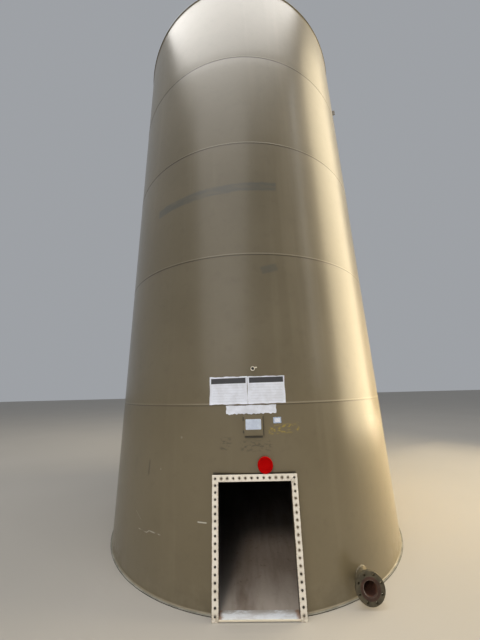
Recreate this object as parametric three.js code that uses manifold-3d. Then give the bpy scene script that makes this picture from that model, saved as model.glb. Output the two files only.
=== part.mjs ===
// Shop-welded vertical steel storage tank, 12 ft across and 25 ft high, on a flat bottom. Five rings
// of plate carry a low cone deck. The front has an open clean-out with a bolting frame, a flanged
// outlet beside it, a capped coupling, a gauge coupling and a nameplate bracket. Millimetres, +Z up,
// origin on the tank's axis at its underside, front towards -Y.
import * as THREE from "three";
import { mergeVertices } from "three/addons/utils/BufferGeometryUtils.js";
import Module from "manifold-3d";

const wasm = await Module();
wasm.setup();

const INCH = 25.4;
const FIT_GAP = 0.3;
const CUT_MARGIN = 20;
const FACETS_ROUND = 96;

// Shell: rings of two rolled plates each, stacked on the bottom
const SHELL_RADIUS = 72 * INCH;
const SHELL_WALL = (3 / 16) * INCH;
const COURSE_COUNT = 5;
const COURSE_HEIGHT = 60 * INCH;
const SEAM_STAGGER_DEG = 7.5;

// Bottom: a disc in two plates that reaches past the shell
const BOTTOM_THICKNESS = INCH / 4;
const BOTTOM_LEDGE = 0.75 * INCH;
const BOTTOM_SEAM_DEG = 7.5;
const SHELL_TOP = BOTTOM_THICKNESS + COURSE_COUNT * COURSE_HEIGHT;

// Deck: a cone of two halves that rises towards the centre hatch
const DECK_THICKNESS = (3 / 16) * INCH;
const DECK_OVERHANG = (3 / 8) * INCH;
const DECK_SLOPE = 1 / 12;

// Clean-out: opening, neck plates through the shell, bolting frame in front and sill
const OPENING_HALF_WIDTH = 12 * INCH;
const OPENING_TOP = BOTTOM_THICKNESS + 36 * INCH;
const NECK_THICKNESS = INCH / 4;
const NECK_INNER_END = -1790;
const FRAME_WIDTH = 2 * INCH;
const FRAME_THICKNESS = (3 / 8) * INCH;
const FRAME_FACE = -(SHELL_RADIUS + 1.25 * INCH);
const FRAME_BACK = FRAME_FACE + FRAME_THICKNESS;
const FRAME_HOLE_RADIUS = (11 / 32) * INCH;
const FRAME_HOLE_SIDES = 8;
const TOP_HOLE_COUNT = 14;
const SIDE_HOLE_COUNT = 19;
const LOWEST_HOLE = 1.5 * INCH;
const SILL_THICKNESS = INCH / 2;
const SILL_INNER_END = -1775;

// Four-inch nozzles: pipe and slip-on raised-face flange
const PIPE_RADIUS = 2.25 * INCH;
const PIPE_WALL = 6;
const PIPE_SETBACK = INCH / 4;
const FLANGE_RADIUS = 4.5 * INCH;
const FLANGE_THICKNESS = 0.88 * INCH;
const RAISED_FACE_RADIUS = 3.095 * INCH;
const RAISED_FACE_HEIGHT = INCH / 16;
const HUB_RADIUS = 2.655 * INCH;
const HUB_LENGTH = (3 / 8) * INCH;
const BOLT_CIRCLE_RADIUS = 3.75 * INCH;
const BOLT_HOLE_RADIUS = (3 / 8) * INCH;
const BOLT_COUNT = 8;
const BOLT_HOLE_SIDES = 12;
const NOZZLE_FACETS = 32;

const OUTLET = { x: 34.5 * INCH, z: 5.375 * INCH, face: -1770, innerEnd: -1570 };
const UPPER_NOZZLE = { x: 0, z: SHELL_TOP - 24 * INCH, face: SHELL_RADIUS + 5 * INCH, innerEnd: 1800 };

// Capped coupling over the clean-out, and its twin on the deck
const COUPLING_RADIUS = 2.25 * INCH;
const COUPLING_BORE_RADIUS = 1.9 * INCH;
const COUPLING_REACH = 30;
const CAP_RADIUS = 66;
const CAP_DEPTH = 25;
const CAP_WALL = 5;
const COUPLING_ROOT_DEPTH = 15;
const CAP_EDGE_HEIGHT = 3;
const CAP_EDGE_WIDTH = 4;
const FRONT_COUPLING = { x: 3.75 * INCH, z: 40.875 * INCH };
const VENT = { x: 34 * INCH, y: 22 * INCH };

// Gauge coupling above the signs
const GAUGE = { x: 19, z: 1848, radius: 22, boreRadius: 14, reach: INCH, depth: 10, facets: 24 };

// Nameplate bracket: a face plate held off the shell by two legs
const BRACKET = { size: 168, thickness: 4, standoff: 32, legHeight: 92, x: 6, z: 1356 };
const NAMEPLATE = { width: 136, height: 86, thickness: 1.5, z: 1364 };

// Walkway lugs near the right side, and lifting lugs on the deck
const LUG = { reach: 56, height: 110, thickness: (3 / 8) * INCH, holeRadius: (13 / 32) * INCH, holeX: 30, corner: 18 };
const WALKWAY_LUGS = [
  { name: "walkway_lug_front", azimuth: 71.25, z: 6680 },
  { name: "walkway_lug_rear", azimuth: 93.75, z: 6680 },
  { name: "walkway_lug_lower", azimuth: 82.5, z: 5700 },
];
const LUG_ARC_FACETS = 12;
const LIFT_LUG = { inner: 1640, outer: 1790, height: 130, thickness: INCH / 2, holeRadius: 20, corner: 40 };

// Deck hatch: neck with its seat, lid and hinge block
const HATCH_NECK_RADIUS = 4.3125 * INCH;
const HATCH_NECK_WALL = 8;
const HATCH_NECK_DROP = 20;
const HATCH_NECK_RISE = 120;
const HATCH_SEAT_RADIUS = 150;
const HATCH_SEAT_THICKNESS = 12;
const HATCH_LID_RADIUS = 142;
const HATCH_LID_RIM = 18;
const HATCH_LID_CROWN = 34;
const HATCH_LID_FLAT_RIM = 30;
const HATCH_LID_SHOULDER = { radiusShare: 0.55, heightShare: 0.85 };
const HATCH_FACETS = 48;
const HINGE = { width: 60, depth: 30, height: 56 };

const tank = new THREE.Group();

// Finishes, as the photograph shows them
function finish(color, roughness, metalness) {
  return new THREE.MeshStandardMaterial({ color, roughness, metalness });
}
const tanPaint = finish(0x8f8368, 0.5, 0.1);
const creamPaint = finish(0xd8d0bc, 0.6, 0.0);
const sillPaint = finish(0xb4b8b8, 0.6, 0.1);
const flangePaint = finish(0x4a4434, 0.6, 0.2);
const floorSteel = finish(0x6e5d4c, 0.8, 0.2);
const redPlastic = finish(0xa80a08, 0.4, 0.0);
const brightAluminium = finish(0xc8ccd2, 0.3, 0.9);

// A closed geometry as a manifold solid, and back again
function solidOf(geometry) {
  const bare = geometry.clone();
  bare.deleteAttribute("normal");
  bare.deleteAttribute("uv");
  const merged = mergeVertices(bare, 1e-3);
  return new wasm.Manifold(
    new wasm.Mesh({
      numProp: 3,
      vertProperties: new Float32Array(merged.attributes.position.array),
      triVerts: new Uint32Array(merged.index.array),
    }),
  );
}

function geometryOf(solid) {
  const mesh = solid.getMesh();
  const geometry = new THREE.BufferGeometry();
  geometry.setAttribute("position", new THREE.BufferAttribute(mesh.vertProperties, mesh.numProp));
  geometry.setIndex(new THREE.BufferAttribute(mesh.triVerts, 1));
  const flat = geometry.toNonIndexed();
  flat.computeVertexNormals();
  return flat;
}

function cut(geometry, ...tools) {
  return geometryOf(tools.reduce((solid, tool) => solid.subtract(solidOf(tool)), solidOf(geometry)));
}

function addPart(name, geometry, material) {
  const mesh = new THREE.Mesh(geometry, material);
  mesh.name = name;
  tank.add(mesh);
  return mesh;
}

// A block given by its low and high corner
function block([x0, y0, z0], [x1, y1, z1]) {
  return new THREE.BoxGeometry(x1 - x0, y1 - y0, z1 - z0).translate((x0 + x1) / 2, (y0 + y1) / 2, (z0 + z1) / 2);
}

// A rod along Y between two stations
function rodAlongY(radius, x, z, y0, y1, sides) {
  return new THREE.CylinderGeometry(radius, radius, Math.abs(y1 - y0), sides).translate(x, (y0 + y1) / 2, z);
}

// An outline raised along Z. Each of its arcs gets the given number of facets, two to a curve segment
function extruded(outline, depth, arcFacets) {
  return new THREE.ExtrudeGeometry(outline, { depth, bevelEnabled: false, curveSegments: arcFacets / 2 });
}

// A profile of [radius, height] turned about the Z axis. It runs anticlockwise and closes on itself
function turned(profile, facets) {
  const points = [...profile, profile[0]].map(([radius, height]) => new THREE.Vector2(radius, height));
  return new THREE.LatheGeometry(points, facets).rotateX(Math.PI / 2);
}

// A turned piece laid along Y, its profile heights running outwards from the given face
function turnedOutwards(profile, facets, x, z, face, outward) {
  return turned(profile, facets)
    .rotateX((-Math.PI / 2) * outward)
    .translate(x, face, z);
}

function azimuthPoint(radius, azimuthDeg) {
  const angle = THREE.MathUtils.degToRad(azimuthDeg - 90);
  return new THREE.Vector2(radius * Math.cos(angle), radius * Math.sin(angle));
}

// One rolled plate: an arc of the shell between two azimuths, counted from the front towards +X
function rolledPlate(fromDeg, toDeg, bottom, height) {
  const from = THREE.MathUtils.degToRad(fromDeg - 90);
  const to = THREE.MathUtils.degToRad(toDeg - 90);
  const outline = new THREE.Shape();
  outline.absarc(0, 0, SHELL_RADIUS, from, to, false);
  outline.absarc(0, 0, SHELL_RADIUS - SHELL_WALL, to, from, true);
  return extruded(outline, height, (FACETS_ROUND * (toDeg - fromDeg)) / 360).translate(0, 0, bottom);
}

function shellCourses() {
  for (let course = 0; course < COURSE_COUNT; course++) {
    const bottom = BOTTOM_THICKNESS + course * COURSE_HEIGHT;
    const seam = 90 + (course % 2 ? SEAM_STAGGER_DEG : -SEAM_STAGGER_DEG);
    const last = course === COURSE_COUNT - 1;
    const front = rolledPlate(seam - 180, seam, bottom, COURSE_HEIGHT);
    const back = rolledPlate(seam, seam + 180, bottom, COURSE_HEIGHT);
    const frontCuts = course === 0 ? firstCourseCuts() : course === 1 ? [gaugeHole()] : [];
    addPart(`course_${course + 1}_front`, frontCuts.length ? cut(front, ...frontCuts) : front, tanPaint);
    addPart(`course_${course + 1}_back`, last ? cut(back, nozzleHole(UPPER_NOZZLE)) : back, tanPaint);
  }
}

// The first ring is cut for the clean-out neck, the outlet pipe and the capped coupling
function firstCourseCuts() {
  const halfWidth = OPENING_HALF_WIDTH + NECK_THICKNESS + FIT_GAP;
  const top = OPENING_TOP + NECK_THICKNESS + FIT_GAP;
  const front = -SHELL_RADIUS - CUT_MARGIN;
  const doorway = block([-halfWidth, front, 0], [halfWidth, NECK_INNER_END + CUT_MARGIN, top]);
  const { x, z } = FRONT_COUPLING;
  const coupling = rodAlongY(COUPLING_RADIUS + FIT_GAP, x, z, front, -SHELL_RADIUS + CUT_MARGIN, NOZZLE_FACETS);
  return [doorway, nozzleHole(OUTLET), coupling];
}

function gaugeHole() {
  const { x, z, radius, facets } = GAUGE;
  return rodAlongY(radius + FIT_GAP, x, z, -SHELL_RADIUS - CUT_MARGIN, -SHELL_RADIUS + CUT_MARGIN, facets);
}

function nozzleHole({ x, z, face, innerEnd }) {
  return rodAlongY(PIPE_RADIUS + FIT_GAP, x, z, face, innerEnd, NOZZLE_FACETS);
}

// A disc in two plates, butted along a chord behind the axis
function bottomPlates() {
  const radius = SHELL_RADIUS + BOTTOM_LEDGE;
  const spans = [
    { name: "bottom_plate_rear", from: BOTTOM_SEAM_DEG, to: 180 - BOTTOM_SEAM_DEG },
    { name: "bottom_plate_front", from: 180 - BOTTOM_SEAM_DEG, to: 360 + BOTTOM_SEAM_DEG },
  ];
  for (const { name, from, to } of spans) {
    const outline = new THREE.Shape();
    outline.absarc(0, 0, radius, THREE.MathUtils.degToRad(from), THREE.MathUtils.degToRad(to), false);
    addPart(name, extruded(outline, BOTTOM_THICKNESS, (FACETS_ROUND * (to - from)) / 360), floorSteel);
  }
}

// Height of the deck's underside at a radius
function deckUnderside(radius) {
  return SHELL_TOP + FIT_GAP + (SHELL_RADIUS - radius) * DECK_SLOPE;
}

function deckPlates() {
  const rim = SHELL_RADIUS + DECK_OVERHANG;
  const hole = HATCH_NECK_RADIUS + FIT_GAP;
  const cone = turned(
    [
      [hole, deckUnderside(hole)],
      [rim, deckUnderside(rim)],
      [rim, deckUnderside(rim) + DECK_THICKNESS],
      [hole, deckUnderside(hole) + DECK_THICKNESS],
    ],
    FACETS_ROUND,
  );
  const reach = 2 * SHELL_RADIUS;
  const leftSide = block([-reach, -reach, 0], [0, reach, 2 * SHELL_TOP]);
  const rightSide = block([0, -reach, 0], [reach, reach, 2 * SHELL_TOP]);
  const ventHole = new THREE.CylinderGeometry(COUPLING_RADIUS + FIT_GAP, COUPLING_RADIUS + FIT_GAP, 20 * CUT_MARGIN, NOZZLE_FACETS)
    .rotateX(Math.PI / 2)
    .translate(VENT.x, VENT.y, SHELL_TOP);
  addPart("deck_plate_left", cut(cone, rightSide), tanPaint);
  addPart("deck_plate_right", cut(cone, leftSide, ventHole), tanPaint);
}

// Neck plates stand in the shell's cut and carry the bolting frame
function cleanoutNeck() {
  const inner = OPENING_HALF_WIDTH;
  const outer = OPENING_HALF_WIDTH + NECK_THICKNESS;
  const low = BOTTOM_THICKNESS;
  const high = OPENING_TOP + NECK_THICKNESS;
  addPart("cleanout_neck_left", block([-outer, FRAME_BACK, low], [-inner, NECK_INNER_END, high]), tanPaint);
  addPart("cleanout_neck_right", block([inner, FRAME_BACK, low], [outer, NECK_INNER_END, high]), tanPaint);
  const span = inner - FIT_GAP;
  addPart("cleanout_neck_top", block([-span, FRAME_BACK, OPENING_TOP], [span, NECK_INNER_END, high]), tanPaint);
  const sillTop = BOTTOM_THICKNESS + SILL_THICKNESS;
  addPart("cleanout_sill", block([-span, FRAME_FACE, low], [span, SILL_INNER_END, sillTop]), sillPaint);
}

// The frame is two jambs and a header, drilled on a two-inch pitch
function cleanoutFrame() {
  const inner = OPENING_HALF_WIDTH;
  const outer = OPENING_HALF_WIDTH + FRAME_WIDTH;
  const column = (inner + outer) / 2;
  const topRow = OPENING_TOP + FRAME_WIDTH / 2;
  const hole = (x, z) => rodAlongY(FRAME_HOLE_RADIUS, x, z, FRAME_FACE - 1, FRAME_BACK + 1, FRAME_HOLE_SIDES);
  const header = block([-outer, FRAME_FACE, OPENING_TOP], [outer, FRAME_BACK, OPENING_TOP + FRAME_WIDTH]);
  const headerHoles = [];
  for (let i = 0; i < TOP_HOLE_COUNT; i++) {
    headerHoles.push(hole(-column + (2 * column * i) / (TOP_HOLE_COUNT - 1), topRow));
  }
  addPart("cleanout_frame_top", cut(header, ...headerHoles), creamPaint);
  for (const [name, side] of [["cleanout_frame_left", -1], ["cleanout_frame_right", 1]]) {
    const [x0, x1] = side < 0 ? [-outer, -inner] : [inner, outer];
    const jamb = block([x0, FRAME_FACE, 0], [x1, FRAME_BACK, OPENING_TOP]);
    const holes = [];
    for (let i = 0; i < SIDE_HOLE_COUNT - 1; i++) {
      holes.push(hole(side * column, LOWEST_HOLE + ((topRow - LOWEST_HOLE) * i) / (SIDE_HOLE_COUNT - 1)));
    }
    addPart(name, cut(jamb, ...holes), creamPaint);
  }
}

// A four-inch nozzle whose axis runs along Y: pipe through the shell, slip-on flange on its outer end
function nozzle(name, { x, z, face, innerEnd }) {
  const outward = Math.sign(face);
  const pipeEnd = face - outward * PIPE_SETBACK;
  const length = Math.abs(pipeEnd - innerEnd);
  const bore = PIPE_RADIUS - PIPE_WALL;
  const pipe = turnedOutwards(
    [
      [bore, -length],
      [PIPE_RADIUS, -length],
      [PIPE_RADIUS, 0],
      [bore, 0],
    ],
    NOZZLE_FACETS,
    x,
    z,
    pipeEnd,
    outward,
  );
  const seat = PIPE_RADIUS + FIT_GAP;
  const back = -FLANGE_THICKNESS - RAISED_FACE_HEIGHT;
  const flange = turnedOutwards(
    [
      [seat, back - HUB_LENGTH],
      [HUB_RADIUS, back - HUB_LENGTH],
      [HUB_RADIUS, back],
      [FLANGE_RADIUS, back],
      [FLANGE_RADIUS, -RAISED_FACE_HEIGHT],
      [RAISED_FACE_RADIUS, -RAISED_FACE_HEIGHT],
      [RAISED_FACE_RADIUS, 0],
      [seat, 0],
    ],
    NOZZLE_FACETS,
    x,
    z,
    face,
    outward,
  );
  const holes = [];
  for (let i = 0; i < BOLT_COUNT; i++) {
    const angle = (2 * Math.PI * (i + 0.5)) / BOLT_COUNT;
    const holeX = x + BOLT_CIRCLE_RADIUS * Math.sin(angle);
    const holeZ = z + BOLT_CIRCLE_RADIUS * Math.cos(angle);
    const throughFlange = [face + CUT_MARGIN * outward, face - 2 * CUT_MARGIN * outward];
    holes.push(rodAlongY(BOLT_HOLE_RADIUS, holeX, holeZ, ...throughFlange, BOLT_HOLE_SIDES));
  }
  addPart(`${name}_pipe`, pipe, tanPaint);
  addPart(`${name}_flange`, cut(flange, ...holes), flangePaint);
}

// Tube of a capped coupling, from its root at height 0 to its mouth
function couplingProfile() {
  return [
    [COUPLING_BORE_RADIUS, -COUPLING_ROOT_DEPTH],
    [COUPLING_RADIUS, -COUPLING_ROOT_DEPTH],
    [COUPLING_RADIUS, COUPLING_REACH],
    [COUPLING_BORE_RADIUS, COUPLING_REACH],
  ];
}

// Plastic cap pushed over the mouth: skirt, closed face with a rounded edge
function capProfile() {
  const mouth = COUPLING_REACH + FIT_GAP;
  const seat = COUPLING_RADIUS + FIT_GAP;
  return [
    [0, mouth],
    [seat, mouth],
    [seat, mouth - CAP_DEPTH + CAP_WALL],
    [CAP_RADIUS, mouth - CAP_DEPTH + CAP_WALL],
    [CAP_RADIUS, mouth + CAP_WALL - CAP_EDGE_HEIGHT],
    [CAP_RADIUS - CAP_EDGE_WIDTH, mouth + CAP_WALL],
    [0, mouth + CAP_WALL],
  ];
}

function capGeometry() {
  const points = capProfile().map(([radius, height]) => new THREE.Vector2(radius, height));
  return new THREE.LatheGeometry(points, NOZZLE_FACETS).rotateX(Math.PI / 2);
}

function cappedCouplings() {
  const { x, z } = FRONT_COUPLING;
  const root = -Math.sqrt(SHELL_RADIUS ** 2 - x ** 2);
  addPart("front_coupling", turnedOutwards(couplingProfile(), NOZZLE_FACETS, x, z, root, -1), tanPaint);
  addPart("front_cap", capGeometry().rotateX(Math.PI / 2).translate(x, root, z), redPlastic);
  const deckTop = deckUnderside(Math.hypot(VENT.x, VENT.y)) + DECK_THICKNESS;
  const vent = turned(couplingProfile(), NOZZLE_FACETS).translate(VENT.x, VENT.y, deckTop);
  addPart("vent_coupling", vent, tanPaint);
  addPart("vent_cap", capGeometry().translate(VENT.x, VENT.y, deckTop), redPlastic);
}

function gaugeCoupling() {
  const { x, z, radius, boreRadius, reach, depth, facets } = GAUGE;
  const profile = [
    [boreRadius, -depth],
    [radius, -depth],
    [radius, reach],
    [boreRadius, reach],
  ];
  addPart("gauge_coupling", turnedOutwards(profile, facets, x, z, -SHELL_RADIUS, -1), creamPaint);
}

// The bracket's face is flat; its legs end on the shell, behind the middle of each side
function nameplateBracket() {
  const { size, thickness, standoff, legHeight, x, z } = BRACKET;
  const half = size / 2;
  const left = x - half;
  const right = x + half;
  const face = -SHELL_RADIUS - standoff;
  const faceBack = face + thickness;
  const plate = block([left, face, z - half], [right, faceBack, z + half]);
  const leg = (x0, x1) => block([x0, faceBack - 1, z - legHeight / 2], [x1, 0, z + legHeight / 2]);
  const shellRadius = SHELL_RADIUS + FIT_GAP;
  const shell = new THREE.CylinderGeometry(shellRadius, shellRadius, 2 * size, FACETS_ROUND)
    .rotateX(Math.PI / 2)
    .rotateZ(Math.PI / 2)
    .translate(0, 0, z);
  const legs = solidOf(leg(left, left + thickness)).add(solidOf(leg(right - thickness, right)));
  const bracket = solidOf(plate).add(legs.subtract(solidOf(shell)));
  addPart("nameplate_bracket", geometryOf(bracket), tanPaint);
  const { width, height, thickness: sheet, z: middle } = NAMEPLATE;
  const front = [x - width / 2, face - sheet, middle - height / 2];
  addPart("nameplate", block(front, [x + width / 2, face, middle + height / 2]), brightAluminium);
}

// A plate outline with its two outer corners rounded and one hole. It is attached along x = 0
function lugOutline(reach, height, corner, holeRadius, holeX, slope = 0) {
  const outline = new THREE.Shape();
  outline.moveTo(0, 0);
  outline.lineTo(reach, -reach * slope);
  outline.lineTo(reach, height - corner);
  outline.absarc(reach - corner, height - corner, corner, 0, Math.PI / 2, false);
  outline.lineTo(0, height);
  const hole = new THREE.Path();
  hole.absarc(holeX, height / 2, holeRadius, 0, 2 * Math.PI, true);
  outline.holes.push(hole);
  return outline;
}

// Plates that stand square to the shell, in a plane through the tank's axis
function walkwayLugs() {
  const { reach, height, thickness, holeRadius, holeX, corner } = LUG;
  for (const { name, azimuth, z } of WALKWAY_LUGS) {
    const outline = lugOutline(reach, height, corner, holeRadius, holeX);
    const geometry = extruded(outline, thickness, LUG_ARC_FACETS)
      .translate(0, 0, -thickness / 2)
      .rotateX(Math.PI / 2)
      .rotateZ(THREE.MathUtils.degToRad(azimuth - 90));
    const root = azimuthPoint(SHELL_RADIUS + FIT_GAP, azimuth);
    addPart(name, geometry.translate(root.x, root.y, z - height / 2), tanPaint);
  }
}

function liftingLugs() {
  const { inner, outer, height, thickness, holeRadius, corner } = LIFT_LUG;
  const reach = outer - inner;
  for (const [name, turn] of [["lifting_lug_left", Math.PI], ["lifting_lug_right", 0]]) {
    const outline = lugOutline(reach, height, corner, holeRadius, reach / 2, DECK_SLOPE);
    const geometry = extruded(outline, thickness, LUG_ARC_FACETS)
      .translate(0, 0, -thickness / 2)
      .rotateX(Math.PI / 2)
      .translate(inner, 0, deckUnderside(inner) + DECK_THICKNESS + FIT_GAP)
      .rotateZ(turn);
    addPart(name, geometry, tanPaint);
  }
}

// Hatch in the middle of the deck, shut
function deckHatch() {
  const deckTop = deckUnderside(HATCH_NECK_RADIUS) + DECK_THICKNESS;
  const bore = HATCH_NECK_RADIUS - HATCH_NECK_WALL;
  const seatTop = deckTop + HATCH_NECK_RISE;
  const seatBottom = seatTop - HATCH_SEAT_THICKNESS;
  const neck = turned(
    [
      [bore, deckTop - DECK_THICKNESS - HATCH_NECK_DROP],
      [HATCH_NECK_RADIUS, deckTop - DECK_THICKNESS - HATCH_NECK_DROP],
      [HATCH_NECK_RADIUS, seatBottom],
      [HATCH_SEAT_RADIUS, seatBottom],
      [HATCH_SEAT_RADIUS, seatTop],
      [bore, seatTop],
    ],
    HATCH_FACETS,
  );
  addPart("hatch_neck", neck, tanPaint);
  const lidBottom = seatTop + FIT_GAP;
  const crown = new THREE.Vector2(HATCH_LID_RADIUS - HATCH_LID_FLAT_RIM, lidBottom + HATCH_LID_RIM);
  const { radiusShare, heightShare } = HATCH_LID_SHOULDER;
  const lidPoints = [
    new THREE.Vector2(0, lidBottom),
    new THREE.Vector2(HATCH_LID_RADIUS, lidBottom),
    new THREE.Vector2(HATCH_LID_RADIUS, lidBottom + HATCH_LID_RIM),
    crown,
    new THREE.Vector2(crown.x * radiusShare, lidBottom + HATCH_LID_CROWN * heightShare),
    new THREE.Vector2(0, lidBottom + HATCH_LID_CROWN),
  ];
  addPart("hatch_lid", new THREE.LatheGeometry(lidPoints, HATCH_FACETS).rotateX(Math.PI / 2), tanPaint);
  const hingeFront = HATCH_SEAT_RADIUS + FIT_GAP;
  const low = [-HINGE.width / 2, hingeFront, seatBottom];
  const high = [HINGE.width / 2, hingeFront + HINGE.depth, seatBottom + HINGE.height];
  addPart("hatch_hinge", block(low, high), tanPaint);
}

bottomPlates();
shellCourses();
deckPlates();
deckHatch();
cleanoutNeck();
cleanoutFrame();
nozzle("outlet", OUTLET);
nozzle("upper_nozzle", UPPER_NOZZLE);
cappedCouplings();
gaugeCoupling();
nameplateBracket();
walkwayLugs();
liftingLugs();

export default tank;
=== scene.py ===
import math

import bmesh
import bpy
import numpy as np
from mathutils import Matrix, Vector


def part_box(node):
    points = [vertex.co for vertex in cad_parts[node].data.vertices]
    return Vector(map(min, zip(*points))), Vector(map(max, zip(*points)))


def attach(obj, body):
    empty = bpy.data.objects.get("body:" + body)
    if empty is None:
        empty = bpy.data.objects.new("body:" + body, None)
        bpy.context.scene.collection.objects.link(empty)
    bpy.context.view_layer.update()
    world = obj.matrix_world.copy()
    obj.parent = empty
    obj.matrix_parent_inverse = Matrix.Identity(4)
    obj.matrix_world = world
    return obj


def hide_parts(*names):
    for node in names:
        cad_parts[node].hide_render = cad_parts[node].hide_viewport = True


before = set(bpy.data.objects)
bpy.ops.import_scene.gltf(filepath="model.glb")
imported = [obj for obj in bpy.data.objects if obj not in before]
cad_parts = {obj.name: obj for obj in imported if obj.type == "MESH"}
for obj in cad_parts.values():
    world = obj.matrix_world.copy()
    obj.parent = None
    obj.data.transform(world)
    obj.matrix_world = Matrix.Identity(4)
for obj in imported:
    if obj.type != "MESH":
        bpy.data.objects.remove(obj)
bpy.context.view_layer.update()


# Bottom. Two quarter-inch plates are butt welded along a chord into one disc, which reaches past the
# shell as a narrow ledge. The ledge is bare and pale with dust. Inside, the floor is dull coated plate
# with silt that was dragged towards the clean-out.
class Wire:
    """A shader output in a formula: each operator or named method adds one Math node."""

    def __init__(self, paint, socket):
        self.paint = paint
        self.socket = socket

    def math(self, operation, *values):
        """One Math node of this kind, fed by this wire and the values."""
        return self.paint.node("ShaderNodeMath", {"operation": operation}, (self, *values))

    def __add__(self, other):
        return self.math("ADD", other)

    def __sub__(self, other):
        return self.math("SUBTRACT", other)

    def __rsub__(self, other):
        return self.paint.node("ShaderNodeMath", {"operation": "SUBTRACT"}, (other, self))

    def __mul__(self, other):
        return self.math("MULTIPLY", other)

    def __truediv__(self, other):
        return self.math("DIVIDE", other)

    __radd__ = __add__
    __rmul__ = __mul__

    def size(self):
        """The value without its sign."""
        return self.math("ABSOLUTE")

    def hypot(self, other):
        """The root of the sum of both squares."""
        return (self * self + other * other).math("SQRT")

    def over(self, low, high):
        """0 below low and 1 above high, with a smooth step between. With low above high it falls."""
        inputs = {"Value": self, "From Min": low, "From Max": high}
        return self.paint.node("ShaderNodeMapRange", {"interpolation_type": "SMOOTHSTEP"}, inputs)

    def within(self, low, high, soft):
        """1 between low and high, fading out over the soft width round each."""
        return self.over(low - soft, low + soft) * self.over(high + soft, high - soft)

    def nearest(self, first, pitch):
        """The distance to the nearest of a row of stations that starts at first and has this pitch."""
        return (((self - first) / pitch + 0.5).math("FRACT") - 0.5) * pitch


class Paint:
    """A material being mixed: one Principled shader, and the nodes that feed it."""

    def __init__(self, name, **fixed):
        self.material = bpy.data.materials.new(name)
        self.material.use_nodes = True
        self.tree = self.material.node_tree
        self.shader = self.tree.nodes["Principled BSDF"]
        for socket, value in fixed.items():
            self.shader.inputs[socket.replace("_", " ").title()].default_value = value
        self.place = self.node("ShaderNodeTexCoord", output="Object")

    def node(self, kind, settings=None, inputs=(), output=0):
        """Adds a node, sets it up, wires or fills its inputs, and gives one of its outputs."""
        added = self.tree.nodes.new(kind)
        for setting, value in (settings or {}).items():
            setattr(added, setting, value)
        for socket, value in inputs.items() if isinstance(inputs, dict) else enumerate(inputs):
            if isinstance(value, Wire):
                self.tree.links.new(value.socket, added.inputs[socket])
            else:
                added.inputs[socket].default_value = value
        return Wire(self, added.outputs[output])

    def axes(self):
        """The object's x, y and z as three wires."""
        return [self.node("ShaderNodeSeparateXYZ", inputs=[self.place], output=axis) for axis in "XYZ"]

    def noise(self, scale, detail=2.0, roughness=0.5, stretch=(1, 1, 1)):
        """Soft noise of about scale features a metre, drawn out by stretch."""
        place = self.node("ShaderNodeVectorMath", {"operation": "MULTIPLY"}, (self.place, stretch))
        inputs = {"Vector": place, "Scale": scale, "Detail": detail, "Roughness": roughness}
        return self.node("ShaderNodeTexNoise", inputs=inputs)

    def mix(self, mask, below, above):
        """The colour below where the mask is 0 and the colour above where it is 1."""
        colours = [colour if isinstance(colour, Wire) else (*colour, 1) for colour in (below, above)]
        inputs = {0: mask, 6: colours[0], 7: colours[1]}
        return self.node("ShaderNodeMix", {"data_type": "RGBA"}, inputs, output=2)

    def bump(self, height, millimetres, normal=None):
        """The normal of a surface that a height of 1 lifts by so many millimetres. It may build on
        another bump's normal."""
        inputs = {"Height": height, "Distance": millimetres / 1000, "Strength": 1.0}
        if normal is not None:
            inputs["Normal"] = normal
        return self.node("ShaderNodeBump", inputs=inputs)

    def finish(self, **wires):
        """Feeds the shader's inputs, such as base_color, and gives the material."""
        for socket, value in wires.items():
            self.tree.links.new(value.socket, self.shader.inputs[socket.replace("_", " ").title()])
        return self.material


def make(name, points, quads, material, slot, sharp_degrees=38):
    """Points and quads become a closed piece that rides on the tank, its faces turned outwards."""
    mesh = bpy.data.meshes.new(name)
    mesh.from_pydata(points.tolist(), [], quads.tolist())
    shape = bmesh.new()
    shape.from_mesh(mesh)
    bmesh.ops.remove_doubles(shape, verts=shape.verts, dist=1e-6)
    bmesh.ops.dissolve_degenerate(shape, edges=shape.edges, dist=1e-7)
    bmesh.ops.recalc_face_normals(shape, faces=shape.faces)
    shape.to_mesh(mesh)
    shape.free()
    mesh.polygons.foreach_set("use_smooth", [True] * len(mesh.polygons))
    mesh.set_sharp_from_angle(angle=math.radians(sharp_degrees))
    mesh.materials.append(material)
    piece = bpy.data.objects.new(name, mesh)
    bpy.context.scene.collection.objects.link(piece)
    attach(piece, "root")
    return piece


def grid(rows, columns, close_rows=False, close_columns=False):
    """Quads of a rows by columns grid of points, row by row, each way joined to its start if closed."""
    index = np.arange(rows * columns).reshape(rows, columns)
    if close_rows:
        index = np.vstack([index, index[:1]])
    if close_columns:
        index = np.hstack([index, index[:, :1]])
    corners = index[:-1, :-1], index[1:, :-1], index[1:, 1:], index[:-1, 1:]
    return np.stack(corners, axis=-1).reshape(-1, 4)


def crosswise(axis):
    """Two directions square to an axis and to each other. The first is the axis crossed with the
    upright, or with X where the axis is itself upright."""
    across = np.cross((0, 0, 1) if abs(axis[2]) < 0.5 else (1, 0, 0), axis)
    return across, np.cross(axis, across)


def turned(profile, centre, axis, turns=96):
    """A closed profile of (radius, reach) turned round a line: centre + reach * axis, plus radius
    times (cos t, sin t) across the line. A profile point at radius 0 closes a pole."""
    profile = np.asarray(profile, float)
    axis = np.asarray(axis, float)
    across, other = crosswise(axis)
    angle = np.linspace(0, 2 * np.pi, turns, endpoint=False)[:, None, None]
    ring = np.cos(angle) * across + np.sin(angle) * other
    points = np.asarray(centre) + profile[None, :, 1:] * axis + profile[None, :, :1] * ring
    return points.reshape(-1, 3), grid(turns, len(profile), True, True)


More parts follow.
